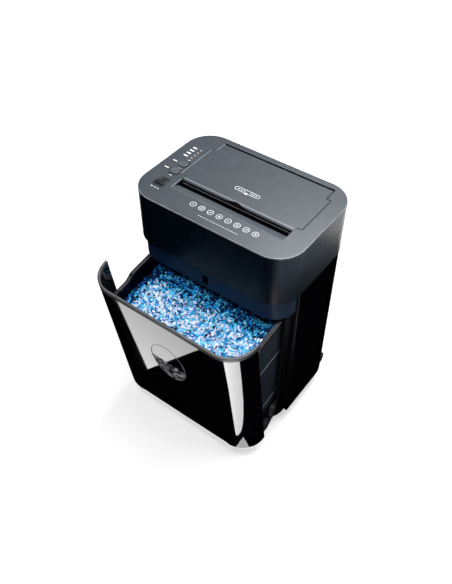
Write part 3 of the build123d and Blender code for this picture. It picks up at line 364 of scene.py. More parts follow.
@dataclass(frozen=True)
class GlossPlastic(Finish):
    """Polished plastic with a faint wave in its surface and smudges in its gloss."""

    wave_scale: float = 60.0
    wave_depth: float = 0.00002
    smudge: float = 0.05
    edge_color: Color = srgb(120, 124, 132)
    edge_amount: float = 0.15
    edge_radius: float = 0.0006

    def material(self) -> bpy.types.Material:
        """Build the material.

        Returns:
            The material.
        """
        material, graph, shader = self.start(Coat_Weight=0.3, Coat_Roughness=0.02, IOR=1.5)
        grain = self.effect(graph, Effect.GRAIN, Scale=self.wave_scale)
        edges = self.effect(graph, Effect.EDGES, Radius=self.edge_radius)
        # Convex and concave edges lightened: partly wear, partly painted highlight.
        wear_and_highlight = graph.math("MULTIPLY", edges["Mask"], self.edge_amount)
        graph.link(graph.mix(wear_and_highlight, self.color, self.edge_color), shader, "Base Color")
        smear = graph.spread(grain["Tone"], (0.45, 0.8), self.around(0.0, self.smudge))
        graph.link(smear, shader, "Roughness")
        self.bump(graph, shader, grain["Tone"], self.wave_depth)
        return material


@dataclass(frozen=True)
class SmokedPlastic(Finish):
    """Smoked window: dark, with the cut paper behind it showing as flecks in its lower part."""

    fleck_color: Color = srgb(96, 108, 150)
    fleck_scale: tuple[float, float, float] = (90.0, 90.0, 260.0)
    fleck_turn: tuple[float, float, float] = (0.4, 0.7, 0.0)
    heights: Pair = (0.245, 0.205)
    coat: float = 0.3
    specular: float = 0.5

    def material(self) -> bpy.types.Material:
        """Build the material.

        Returns:
            The material.
        """
        shine = {"Coat_Weight": self.coat, "Specular_IOR_Level": self.specular}
        material, graph, shader = self.start(Coat_Roughness=0.02, IOR=1.5, **shine)
        place = graph.place()
        turned = {"Vector": place, "Scale": self.fleck_scale, "Rotation": self.fleck_turn}
        stretch = graph.add("ShaderNodeMapping", turned).outputs[0]
        flecks = graph.add("ShaderNodeTexVoronoi", {"Vector": stretch, "Scale": 1.0}).outputs["Distance"]
        behind = graph.spread(graph.axis(place, "Z"), self.heights)
        shown = graph.math("MULTIPLY", graph.spread(flecks, (0.15, 0.45), (1.0, 0.0)), behind)
        graph.link(graph.mix(shown, self.color, self.fleck_color), shader, "Base Color")
        return material


@dataclass(frozen=True)
class Steel(Finish):
    """Metal with fine brushed lines along X and a drift of tone."""

    line_scale: float = 1400.0
    line_stretch: tuple[float, float, float] = (0.06, 1.0, 1.0)
    line_depth: float = 0.00001
    drift: float = 0.8

    def material(self) -> bpy.types.Material:
        """Build the material.

        Returns:
            The material.
        """
        material, graph, shader = self.start(Metallic=1.0)
        stretch = graph.add("ShaderNodeMapping", {"Vector": graph.place(), "Scale": self.line_stretch})
        lines = graph.noise(stretch.outputs[0], self.line_scale, 3.0)
        grain = self.effect(graph, Effect.GRAIN, Scale=300.0)
        graph.link(graph.mix(grain["Tone"], self.scaled(self.drift), self.color), shader, "Base Color")
        graph.link(graph.spread(lines, (0.3, 0.7), self.around(0.08, 0.1)), shader, "Roughness")
        self.bump(graph, shader, lines, self.line_depth)
        return material


@dataclass(frozen=True)
class CutPaper(Finish):
    """Matte paper with fibres and a mottled tint."""

    mottle: float = 0.18
    fibre_scale: float = 900.0
    fibre_depth: float = 0.00005

    def material(self) -> bpy.types.Material:
        """Build the material.

        Returns:
            The material.
        """
        material, graph, shader = self.start(Specular_IOR_Level=0.1)
        fibre = self.effect(graph, Effect.FIBRE, Scale=self.fibre_scale)
        tone = graph.spread(fibre["Tone"], (0.35, 0.65))
        tint = graph.mix(tone, self.scaled(1 - self.mottle), self.scaled(1 + self.mottle))
        graph.link(tint, shader, "Base Color")
        self.bump(graph, shader, fibre["Height"], self.fibre_depth)
        return material


@dataclass(frozen=True)
class PrintInk(Finish):
    """Pad-printed ink: slightly broken coverage over the grain below."""

    grain_scale: float = 900.0
    thin: float = 0.8

    def material(self) -> bpy.types.Material:
        """Build the material.

        Returns:
            The material.
        """
        material, graph, shader = self.start()
        grain = self.effect(graph, Effect.GRAIN, Scale=self.grain_scale)
        tone = graph.spread(grain["Height"], (0.4, 1.0))
        graph.link(graph.mix(tone, self.color, self.scaled(self.thin)), shader, "Base Color")
        return material


FINISHES = {finish.name: finish for finish in (
    MouldedPlastic("charcoal_plastic", srgb(44, 50, 56), 0.35, edge_amount=0.4, dust=0.02, tone=0.03),
    MouldedPlastic("black_plastic", srgb(2, 10, 22), 0.26, edge_color=srgb(70, 76, 84), dust=0.01,
                   tone=0.05, specular=0.14),
    # Bluer, lighter copy of the head's dark plastic for the neck: painted blue bounce light from the shreds.
    MouldedPlastic("neck_painted_bounce", srgb(8, 34, 64), 0.45, edge_color=srgb(70, 76, 84), dust=0.0,
                   specular=0.15),
    MouldedPlastic("pillar_satin", srgb(4, 4, 6), 0.40, edge_color=srgb(60, 62, 66), edge_amount=0.3,
                   dust=0.0, specular=0.06),
    MouldedPlastic("switch_black", srgb(9, 12, 17), 0.44, edge_color=srgb(150, 155, 162), edge_amount=0.3,
                   specular=0.25),
    # Near-black film for painted shade: the lid's gaps and the nose's front over the scoop.
    MouldedPlastic("slot_black", srgb(4, 4, 5), 0.6, edge_amount=0.0, dust=0.0, specular=0.05),
    MouldedPlastic("button_grey", srgb(54, 59, 65), 0.36, edge_amount=0.5, tone=0.04),
    GlossPlastic("gloss_black", srgb(6, 6, 10), 0.03),
    MouldedPlastic("grip_grey", srgb(50, 51, 54), 0.40, edge_amount=0.3, tone=0.05),
    # Near-black tub: painted shade on its inner walls. The outer walls get lighter skins of painted light.
    MouldedPlastic("tub_plastic", srgb(3, 4, 7), 0.34, edge_color=srgb(90, 98, 110), edge_amount=0.3,
                   tone=0.05, specular=0.25),
    # Lighter copy of the cover's grey for the slot's lip: painted light.
    MouldedPlastic("lip_painted_light", srgb(56, 62, 68), 0.35, edge_amount=0.0, dust=0.02, tone=0.03),
    # Lighter skin on the tub's outer walls: painted light, a lit copy of the near-black tub.
    MouldedPlastic("tub_side_lit", srgb(34, 43, 54), 0.34, edge_amount=0.2, dust=0.03, tone=0.05),
    # Lighter grey for a strip on the lid's nose: painted highlight.
    MouldedPlastic("nose_highlight_paint", srgb(82, 88, 94), 0.38, edge_amount=0.0, dust=0.0, tone=0.03),
    # Light grey beads: painted highlight along the tub's ledges and the head's lower edge.
    MouldedPlastic("bead_highlight", srgb(96, 106, 122), 0.36, edge_amount=0.2),
    SmokedPlastic("smoked_window", srgb(8, 10, 20), 0.04),
    # Dark film over the window's lower half: painted shade of its recess, with pale flecks of the paper
    # behind.
    SmokedPlastic("window_shade", srgb(6, 7, 14), 0.5, fleck_color=srgb(244, 246, 250), heights=(0.34, 0.30),
                  coat=0.0, specular=0.05),
    MouldedPlastic("window_trim", srgb(120, 122, 128), 0.30, edge_amount=0.2),
    MouldedPlastic("glide_nylon", srgb(36, 36, 38), 0.45, grain_depth=0.00003),
    Steel("zinc_steel", srgb(196, 198, 202), 0.35),
    Steel("hardened_steel", srgb(150, 152, 156), 0.30),
    MouldedPlastic("gear_nylon", srgb(224, 220, 206), 0.45, grain_depth=0.00003),
    Steel("bush_bronze", srgb(196, 150, 92), 0.38),
    MouldedPlastic("motor_paint", srgb(40, 41, 44), 0.45),
    MouldedPlastic("board_green", srgb(34, 96, 62), 0.40),
    GlossPlastic("indicator_clear", srgb(226, 228, 232), 0.15),
    MouldedPlastic("castor_plastic", srgb(24, 24, 27), 0.38, edge_amount=0.25),
    MouldedPlastic("castor_tread", srgb(36, 36, 38), 0.62, edge_amount=0.2),
    # Pale finish for thin lines on lit edges: painted highlight.
    MouldedPlastic("edge_highlight", srgb(160, 166, 174), 0.30, edge_amount=0.0, dust=0.0, tone=0.03),
    PrintInk("ink_white", srgb(214, 217, 220), 0.6),
    PrintInk("ink_grey", srgb(196, 200, 204), 0.6),
    PrintInk("ink_amber", srgb(178, 128, 120), 0.6),
    PrintInk("ink_blue", srgb(138, 150, 168), 0.6),
    # Near-black heap core, seen between the shreds: painted shade.
    CutPaper("paper", srgb(4, 9, 22), 0.8, mottle=0.5),
    CutPaper("paper_white", srgb(230, 236, 244), 0.7, mottle=0.06),
    CutPaper("paper_lilac", srgb(198, 206, 238), 0.7, mottle=0.08),
    CutPaper("paper_sky", srgb(92, 196, 236), 0.7, mottle=0.12),
    CutPaper("paper_blue", srgb(16, 144, 212), 0.7),
    CutPaper("paper_deep", srgb(12, 96, 178), 0.7),
    CutPaper("paper_navy", srgb(5, 24, 60), 0.7),
)}


class FinishShelf:
    """Makes each finish's material once."""

    def __init__(self) -> None:
        """Start with no materials."""
        self.made: dict[str, bpy.types.Material] = {}

    def get(self, name: str) -> bpy.types.Material:
        """Return a finish's material, made at its first use.

        Args:
            name: the finish's name.

        Returns:
            Its material.
        """
        if name not in self.made:
            self.made[name] = FINISHES[name].material()
        return self.made[name]


SHELF = FinishShelf()


def grid_faces(rows: int, columns: int, wrap_rows: bool = False) -> np.ndarray:
    """Quads of a grid of points whose columns close on themselves.

    Args:
        rows: number of rings of points.
        columns: points in each ring.
        wrap_rows: whether the last ring joins the first.

    Returns:
        Point numbers, four to a face.
    """
    row = np.arange(rows if wrap_rows else rows - 1)[:, None]
    column = np.arange(columns)[None, :]
    beside = (column + 1) % columns
    above = (row + 1) % rows
    low, high = row * columns, above * columns
    return np.stack((low + column, low + beside, high + beside, high + column), axis=-1).reshape(-1, 4)


def loft(sections: np.ndarray) -> Skin:
    """Closed skin over a row of sections, with a cap at each end.

    Args:
        sections: places in metres, by section and by point round it.

    Returns:
        Points and faces.
    """
    rows, count = sections.shape[:2]
    caps = [list(range(count)), list(range((rows - 1) * count, rows * count))]
    return sections.reshape(-1, 3), grid_faces(rows, count).tolist() + caps


def prism(profile: np.ndarray, ends: Pair) -> Skin:
    """Carry a profile in Y and Z along X from one end to the other."""
    return loft(np.stack([np.insert(profile, 0, end, axis=1) for end in ends]))


def show(name: str, data: bpy.types.ID) -> bpy.types.Object:
    """Put a mesh, a lamp or a camera into the scene.

    Args:
        name: the object's name.
        data: what it shows.

    Returns:
        The new object.
    """
    thing = bpy.data.objects.new(name, data)
    bpy.context.scene.collection.objects.link(thing)
    return thing


def make_piece(name: str, skin: Skin, finish: str, body: str, smooth: bool = True) -> None:
    """Put points and faces into a piece that rides on a body.

    Args:
        name: the piece's name.
        skin: places in metres, one row each, and the point numbers of each face.
        finish: the finish it is dressed in.
        body: the CAD body that it moves with.
        smooth: whether faces are shaded smooth.
    """
    points, faces = skin
    mesh = bpy.data.meshes.new(name)
    mesh.from_pydata(points.tolist(), [], [list(map(int, face)) for face in faces])
    work = bmesh.new()
    work.from_mesh(mesh)
    bmesh.ops.recalc_face_normals(work, faces=work.faces)
    work.to_mesh(mesh)
    work.free()
    mesh.polygons.foreach_set("use_smooth", np.full(len(mesh.polygons), smooth))
    if smooth:
        mesh.set_sharp_from_angle(angle=SHARP_ANGLE)
    piece = show(name, mesh)
    mesh.materials.append(SHELF.get(finish))
    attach(piece, body)
    LOG.info("%s: %d faces on %s", name, len(mesh.polygons), body)


@dataclass(frozen=True)
class BinFrame:
    """Where the bin stands at rest: drawn out along -Y and tipped about its trunnions."""

    travel: float = 80.0 * MM
    tilt: float = math.radians(7.5)
    pivot_y: float = 4.0 * MM
    pivot_z: float = 58.0 * MM

    def place(self, home: np.ndarray) -> np.ndarray:
        """Turn points of the bin pushed home into points at rest.

        Args:
            home: places with the bin pushed home.

        Returns:
            The same places with the bin drawn out and tipped.
        """
        y, z = home[:, 1] - self.pivot_y, home[:, 2] - self.pivot_z
        cosine, sine = math.cos(self.tilt), math.sin(self.tilt)
        moved = home.copy()
        moved[:, 1] = y * cosine - z * sine + self.pivot_y - self.travel
        moved[:, 2] = y * sine + z * cosine + self.pivot_z
        return moved


@dataclass(frozen=True)
class Dressing:
    """Gives every CAD node its finish from its material slot, or one of its own."""

    own: tuple[tuple[str, str], ...] = (
        # The neck's bluer finish is painted bounce light.
        ("head_lower_housing", "neck_painted_bounce"),
        ("left_front_pillar", "pillar_satin"),
        ("right_front_pillar", "pillar_satin"),
    )

    def dress(self) -> None:
        """Assign each node's material."""
        own = dict(self.own)
        for row in frame["record"]["subparts"]:
            material = SHELF.get(own.get(row["node"], row["material_slot"]))
            node = frame["nodes"][row["node"]]
            if not node.material_slots:
                node.data.materials.append(material)
            for place in node.material_slots:
                place.material = material
        LOG.info("dressed %d nodes", len(frame["nodes"]))


def tube(path: np.ndarray, normal: tuple[float, float, float], radius: float, closed: bool,
         sides: int = 10) -> Skin:
    """Round bead along a path that lies in a plane: a circle carried along it.

    Args:
        path: points in order, in metres.
        normal: the plane's normal.
        radius: of the bead.
        closed: whether the last point joins the first; open ends get caps.
        sides: points round the circle.

    Returns:
        Points and faces.
    """
    ahead = np.roll(path, -1, axis=0) - np.roll(path, 1, axis=0)
    if not closed:
        ahead[0], ahead[-1] = path[1] - path[0], path[-1] - path[-2]
    ahead /= np.linalg.norm(ahead, axis=1, keepdims=True)
    up = np.array(normal)
    aside = np.cross(ahead, up)
    turn = np.linspace(0, 2 * math.pi, sides, endpoint=False)
    circle = np.cos(turn)[None, :, None] * aside[:, None, :] + np.sin(turn)[None, :, None] * up
    sections = path[:, None, :] + radius * circle
    if closed:
        return sections.reshape(-1, 3), grid_faces(len(path), sides, wrap_rows=True).tolist()
    return loft(sections)


def round_ends(arc: int) -> tuple[np.ndarray, np.ndarray]:
    """Return the angles round two half circles, and the end, 0.5 or -0.5, at which each lies."""
    turn = np.linspace(-math.pi / 2, math.pi / 2, arc)
    return np.concatenate([turn, turn + math.pi]), np.repeat([0.5, -0.5], arc)


def bars(rows: np.ndarray, bottom: float, top: float, arc: int = 6) -> Skin:
    """Flat bars with round ends, each the hull of two half circles, as closed prisms.

    Args:
        rows: middle x and y, length, width and turn in degrees of each bar, in millimetres.
        bottom: height of the undersides in metres.
        top: height of the upper sides in metres.
        arc: points of each round end.

    Returns:
        Points and faces.
    """
    x, y, length, width, degrees = (column[:, None] for column in rows.T)
    turn, end = round_ends(arc)
    shift = end * np.maximum(length - width, 0)
    along, aside = shift + np.cos(turn) * width / 2, np.sin(turn) * width / 2
    lean = np.radians(degrees)
    px = (x + along * np.cos(lean) - aside * np.sin(lean)) * MM
    py = (y + along * np.sin(lean) + aside * np.cos(lean)) * MM
    count, ring = px.shape
    levels = np.broadcast_to(np.array([bottom, top])[None, :, None], (count, 2, ring))
    plan = np.broadcast_to(np.stack([px, py], axis=-1)[:, None, :, :], (count, 2, ring, 2))
    points = np.concatenate([plan, levels[..., None]], axis=-1).reshape(-1, 3)
    start = np.arange(count)[:, None, None] * 2 * ring
    faces = (grid_faces(2, ring)[None] + start).reshape(-1, 4).tolist()
    caps = np.stack([np.arange(ring), np.arange(ring) + ring])[None] + start
    return points, faces + caps.reshape(-1, ring).tolist()


def outlines(rows: np.ndarray, line: float, bottom: float, top: float, arc: int = 12) -> Skin:
    """Flat bands between two round-ended outlines: each outline is the hull of two half circles.

    Args:
        rows: middle x and y, length and width of each outline, in millimetres.
        line: width of the bands in millimetres.
        bottom: height of the undersides in metres.
        top: height of the upper sides in metres.
        arc: points of each round end.

    Returns:
        Points and faces.
    """
    x, y, length, width = (column[:, None, None] for column in rows.T)
    turn, end = round_ends(arc)
    shift = end * np.maximum(length - width, 0)
    radii = width / 2 - line * np.array([0.0, 0.0, 1.0, 1.0])[None, :, None]
    px = (x + shift + np.cos(turn) * radii) * MM
    py = (y + np.sin(turn) * radii) * MM
    levels = np.array([bottom, top, top, bottom])[None, :, None]
    points = np.stack([px, py, np.broadcast_to(levels, px.shape)], axis=-1).reshape(-1, 3)
    start = np.arange(len(rows))[:, None, None] * 8 * arc
    faces = (grid_faces(4, 2 * arc, wrap_rows=True)[None] + start).reshape(-1, 4)
    return points, faces.tolist()


@dataclass
class PanelMarks:
    """Plain printed marks on the head: dashes by the controls, a row of simple icons, a pill on the lid."""

    top: float = 483.0 * MM
    film: float = 0.06 * MM
    line: float = 0.9
    control_rows: tuple[tuple[float, ...], ...] = (
        (-129.5, -78.4, 5.0, 1.1, 0), (-122.5, -78.4, 3.5, 1.1, 0), (-116.5, -78.4, 3.5, 1.1, 0),
        (-143.2, -23.0, 9.0, 1.8, 0), (-143.2, 0.2, 9.0, 1.8, 0), (-123.6, -12.4, 7.0, 1.2, 0),
        (-124.0, -37.2, 4.0, 1.2, 0), (-122.4, -36.0, 3.0, 1.2, 90),
        (-124.4, 14.4, 3.5, 1.2, 0), (-123.0, 15.6, 3.0, 1.2, 90),
    )
    indicator_count: int = 4
    indicator_x: float = -124.5
    indicator_size: Pair = (4.6, 2.0)
    indicator_end: float = 1.2
    icon_row: float = -75.5
    icon_first: float = -43.0
    icon_pitch: float = 17.7
    icon_count: int = 8
    icon_size: float = 11.5
    icon_strokes: tuple[tuple[tuple[float, ...], ...], ...] = (
        ((0, 0, 5, 1, 0),),
        ((0, 1.5, 5, 1, 0), (0, -1.5, 5, 1, 0)),
        ((0, 0, 6, 1.2, 45),),
        ((0, 0, 3.6, 3.6, 0),),
    )
    dash_row: float = -92.6
    dash_run: tuple[float, float, float] = (-18.0, 61.0, 4.4)
    dash_size: Pair = (3.0, 0.9)
    pill_middle: Pair = (10.4, 2.3)
    pill_size: Pair = (50.0, 9.0)
    pill_steps: tuple[float, ...] = (-17.0, -11.5, -6.0, 8.0, 13.0, 18.0)
    pill_dash: Pair = (3.4, 1.6)
    pill_spot: Pair = (7.0, 4.0)

    def build(self) -> None:
        """Print all marks."""
        self.controls()
        self.icons()
        self.pill()

    def levels(self) -> Pair:
        """Return the heights of a print's underside and upper side."""
        return self.top - self.film / 3, self.top + self.film

    def print_bars(self, name: str, rows: list, finish: str, body: str = "cabinet") -> None:
        """Print bars as one piece just over the surface."""
        skin = bars(np.array(rows, dtype=float), *self.levels())
        make_piece(name, skin, finish, body, smooth=False)

    def print_outlines(self, name: str, rows: list, body: str = "cabinet") -> None:
        """Print round-ended outlines as one piece just over the surface."""
        skin = outlines(np.array(rows, dtype=float), self.line, *self.levels())
        make_piece(name, skin, "ink_grey", body, smooth=False)

    def controls(self) -> None:
        """Dashes and ticks at the rocker and the buttons, and at the indicators' CAD lenses."""
        self.print_bars("control_dashes", list(self.control_rows), "ink_white")
        low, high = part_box("indicator_lenses")
        ends = low[1] / MM + self.indicator_end, high[1] / MM - self.indicator_end
        places = np.linspace(*ends, self.indicator_count)
        rows = [(self.indicator_x, y, *self.indicator_size, 0) for y in places]
        for first, finish in enumerate(("ink_amber", "ink_blue")):
            self.print_bars(f"indicator_{finish}", rows[first::2], finish)

    def icons(self) -> None:
        """Row of rings, each with plain bars inside, over a line of short dashes."""
        steps = range(self.icon_count)
        places = [(self.icon_first + number * self.icon_pitch, self.icon_row) for number in steps]
        rows = [(x + dx, y + dy, *rest) for number, (x, y) in enumerate(places)
                for dx, dy, *rest in self.icon_strokes[number % len(self.icon_strokes)]]
        rows += [(x, self.dash_row, *self.dash_size, 0) for x in np.arange(*self.dash_run)]
        self.print_bars("icon_bars", rows, "ink_grey")
        self.print_outlines("icon_rings", [(*place, self.icon_size, self.icon_size) for place in places])

    def pill(self) -> None:
        """Long round-ended outline on the lid, with plain dashes in it and a spot on its lower edge."""
        x, y = self.pill_middle
        self.print_outlines("lid_pill", [(x, y, *self.pill_size)], "lid")
        rows = [(x + step, y, *self.pill_dash, 0) for step in self.pill_steps]
        rows.append((x, y - self.pill_size[1] / 2, *self.pill_spot, 0))
        self.print_bars("lid_dashes", rows, "ink_grey", "lid")


@dataclass
class HeadLines:
    """Thin lines on the head: painted shade in the lid's gaps, painted highlights on lid edges and head top
    and foot.
    """

    # Black bars over the lid's gaps and the cover's edge beside them: painted shade.
    gap_shade_rows: tuple[tuple[float, ...], ...] = (
        (134.0, 21.0, 91.0, 1.5, 90), (129.5, 66.4, 9.0, 1.2, 0), (125.0, 80.5, 27.0, 1.5, 90),
        (129.5, -24.2, 9.0, 1.2, 0), (11.5, 94.95, 226.0, 0.4, 0),
    )
    gap_shade_levels: Pair = (480.2 * MM, 483.03 * MM)
    # Pale bars on the lid's edges: painted highlight.
    highlight_rows: tuple[tuple[float, ...], ...] = (
        (-111.5, 21.0, 88.0, 0.5, 90), (-102.5, 80.0, 24.0, 0.5, 90), (-100.8, -49.0, 26.0, 0.6, 90),
    )
    highlight_levels: Pair = (482.8 * MM, 483.06 * MM)
    half_width: float = 162.0 * MM
    half_depth: float = 109.0 * MM
    corner: float = 50.0 * MM
    corner_steps: int = 24
    edge_inset: float = 0.6 * MM
    edge_radius: float = 0.32 * MM
    # Pale beads along the head's top and lower edges: painted highlight.
    edges: tuple[tuple[str, str, float], ...] = (
        ("top_edge_highlight", "edge_highlight", 482.4 * MM), ("lower_edge_highlight", "bead_highlight", 380.5 * MM),
    )

    def build(self) -> None:
        """Make the gaps' painted shade and the edges' painted highlights."""
        for name, finish, rows, levels in (
            ("lid_gap_shade", "slot_black", self.gap_shade_rows, self.gap_shade_levels),
            ("lid_edge_highlights", "edge_highlight", self.highlight_rows, self.highlight_levels),
        ):
            skin = bars(np.array(rows), *levels)
            make_piece(name, skin, finish, "cabinet", smooth=False)
        for name, finish, height in self.edges:
            skin = tube(self.edge_path(height), (0, 0, 1), self.edge_radius, closed=False)
            make_piece(name, skin, finish, "cabinet")

    def edge_path(self, height: float) -> np.ndarray:
        """Path along the front and right of the head: quarter circles joined by straight runs.

        Args:
            height: of the whole path.

        Returns:
            Points of the path.
        """
        radius = self.corner - self.edge_inset
        x, y = self.half_width - self.corner, self.half_depth - self.corner
        turn = np.linspace(0, math.pi / 2, self.corner_steps)
        ends = ((-x, -y, math.pi), (x, -y, 1.5 * math.pi), (x, y, 0.0))
        arcs = [np.stack([cx + radius * np.cos(start + turn), cy + radius * np.sin(start + turn)], axis=-1)
                for cx, cy, start in ends]
        plan = np.concatenate(arcs)
        return np.append(plan, np.full((len(plan), 1), height), axis=1)


@dataclass
class BinTrim:
    """Bin trim: painted-light beads and side panels, rim caps, the window's ring and its painted-shade film.
    """

    bin_frame: BinFrame
    half_width: float = 142.0 * MM
    front: float = -100.0 * MM
    back: float = 95.0 * MM
    front_round: float = 34.0 * MM
    back_round: float = 20.0 * MM
    round_steps: int = 12
    step: float = 1.5 * MM
    bead: float = 0.9 * MM
    ledges: Pair = (110.0 * MM, 235.0 * MM)
    window_middle: float = 253.0 * MM
    window_radii: Pair = (38.0 * MM, 50.0 * MM)
    window_steps: int = 96
    door_face: float = -109.0 * MM
    ring: float = 0.45 * MM
    shade_arc: Pair = (math.radians(-175.3), math.radians(-3.5))
    shade_part: Pair = (0.02, 0.98)
    shade_steps: tuple[int, int] = (40, 12)
    rim_height: float = 322.0 * MM
    rim_drop: float = 9.0 * MM
    rim_bend: Pair = (-45.0 * MM, -21.0 * MM)
    rim_run: Pair = (-64.0 * MM, 60.0 * MM)
    rim_sides: Pair = (138.6 * MM, 145.9 * MM)
    rim_skin: Pair = (-0.6 * MM, 0.25 * MM)
    rim_steps: int = 40
    side_skin: float = 0.25 * MM
    lit_side_bands: tuple[Pair, ...] = (
        (84.0 * MM, 108.5 * MM), (111.5 * MM, 233.5 * MM), (236.5 * MM, 306.0 * MM),
    )

    def build(self) -> None:
        """Make all the trim."""
        # Beads in a light finish: painted highlight lines along the tub's ledges.
        for level, height in enumerate(self.ledges):
            path = self.side_path((1 - level) * self.step, height)
            self.put(f"bead_highlight_{level}", tube(path, (0, 0, 1), self.bead, closed=False), "bead_highlight")
        self.put("window_ring", self.window_ring(), "window_trim")
        # Window film: painted shade.
        self.put("window_shade", self.shade(), "window_shade")
        for side, name in ((-1, "tub_rim_cap_left"), (1, "tub_rim_cap_right")):
            self.put(name, self.rim_cap(side), "grip_grey")
        # Lighter skins over the tub's outer walls: painted light.
        for level, (bottom, top) in enumerate(self.lit_side_bands):
            self.put(f"tub_side_lit_{level}", self.lit_side_panel((2 - level) * self.step, bottom, top), "tub_side_lit")

    def put(self, name: str, skin: Skin, finish: str) -> None:
        """Move a skin from the bin pushed home to the bin at rest and make its piece."""
        points, faces = skin
        make_piece(name, (self.bin_frame.place(points), faces), finish, "bin")

    def window_ring(self) -> Skin:
        """Bead round the window: a circle carried along its oval.

        Returns:
            Points and faces.
        """
        turn = np.linspace(0, 2 * math.pi, self.window_steps, endpoint=False)
        across, up = self.window_radii
        y = np.full_like(turn, self.door_face)
        path = np.stack([across * np.cos(turn), y, self.window_middle + up * np.sin(turn)], axis=-1)
        return tube(path, (0, 1, 0), self.ring, closed=True)

    def rim_cap(self, side: int) -> Skin:
        """Thin cap on the rim of one side wall: a flat profile carried along Y, lowered by a smooth step.

        Args:
            side: -1 for the left wall, 1 for the right.

        Returns:
            Points and faces.
        """
        y = np.linspace(*self.rim_run, self.rim_steps)
        way = np.clip((y - self.rim_bend[0]) / (self.rim_bend[1] - self.rim_bend[0]), 0, 1)
        line = self.rim_height - self.rim_drop * (1 - way**2 * (3 - 2 * way))
        inner, outer = self.rim_sides
        low, high = self.rim_skin
        profile = ((inner, low), (outer, low), (outer, high), (inner, high))
        edges = [np.stack([np.full_like(y, side * x), y, line + z], axis=-1) for x, z in profile]
        return loft(np.stack(edges, axis=1))

    def shade(self) -> Skin:
        """Thin dark film over the lower half of the window, painted shade of its recess: an even blend
        from a chord of the oval to its arc.

        Returns:
            Points and faces.
        """
        along, across = self.shade_steps
        turn = np.linspace(*self.shade_arc, along)
        wide, tall = (size - self.ring for size in self.window_radii)
        arc = np.stack([wide * np.cos(turn), self.window_middle + tall * np.sin(turn)], axis=-1)
        part = np.linspace(*self.shade_part, along)[:, None]
        chord = arc[0] * (1 - part) + arc[-1] * part
        blend = np.linspace(0, 1, across)[None, :, None]
        sheet = chord[:, None] * (1 - blend) + arc[:, None] * blend
        depths = self.door_face + np.array([-self.side_skin / 2, self.side_skin])
        x, z = (np.concatenate([sheet[..., axis], sheet[:, ::-1, axis]], axis=1) for axis in (0, 1))
        y = np.broadcast_to(np.repeat(depths, across), x.shape)
        return loft(np.stack([x, y, z], axis=-1))

    def lit_side_panel(self, inset: float, bottom: float, top: float) -> Skin:
        """Thin lighter panel round the tub's sides and back, painted light: a flat profile carried along the
        side path.

        Args:
            inset: how far inside the tub's widest plan the wall runs.
            bottom: lower edge with the bin pushed home.
            top: upper edge with the bin pushed home.

        Returns:
            Points and faces.
        """
        out = self.side_skin
        profile = ((out, bottom), (out, top), (-out, top), (-out, bottom))
        return loft(np.stack([self.side_path(inset - past, height) for past, height in profile], axis=1))

    def side_path(self, inset: float, height: float) -> np.ndarray:
        """Path along the tub's right side, back and left side: straight runs joined by quarter circles.

        Args:
            inset: how far inside the tub's widest plan it runs.
            height: its height with the bin pushed home.

        Returns:
            Points of the path.
        """
        corners = (
            (1, self.front, self.front_round, -0.5), (1, self.back, self.back_round, 0.0),
            (-1, self.back, self.back_round, 0.5), (-1, self.front, self.front_round, 1.0),
        )
        runs = []
        for side, end, corner, start in corners:
            radius = corner - inset
            middle_y = end + math.copysign(corner, -end)
            turn = (start + np.linspace(0, 0.5, self.round_steps)) * math.pi
            x = side * (self.half_width - corner) + radius * np.cos(turn)
            runs.append(np.stack([x, middle_y + radius * np.sin(turn), np.full_like(turn, height)], axis=-1))
        return np.concatenate(runs)


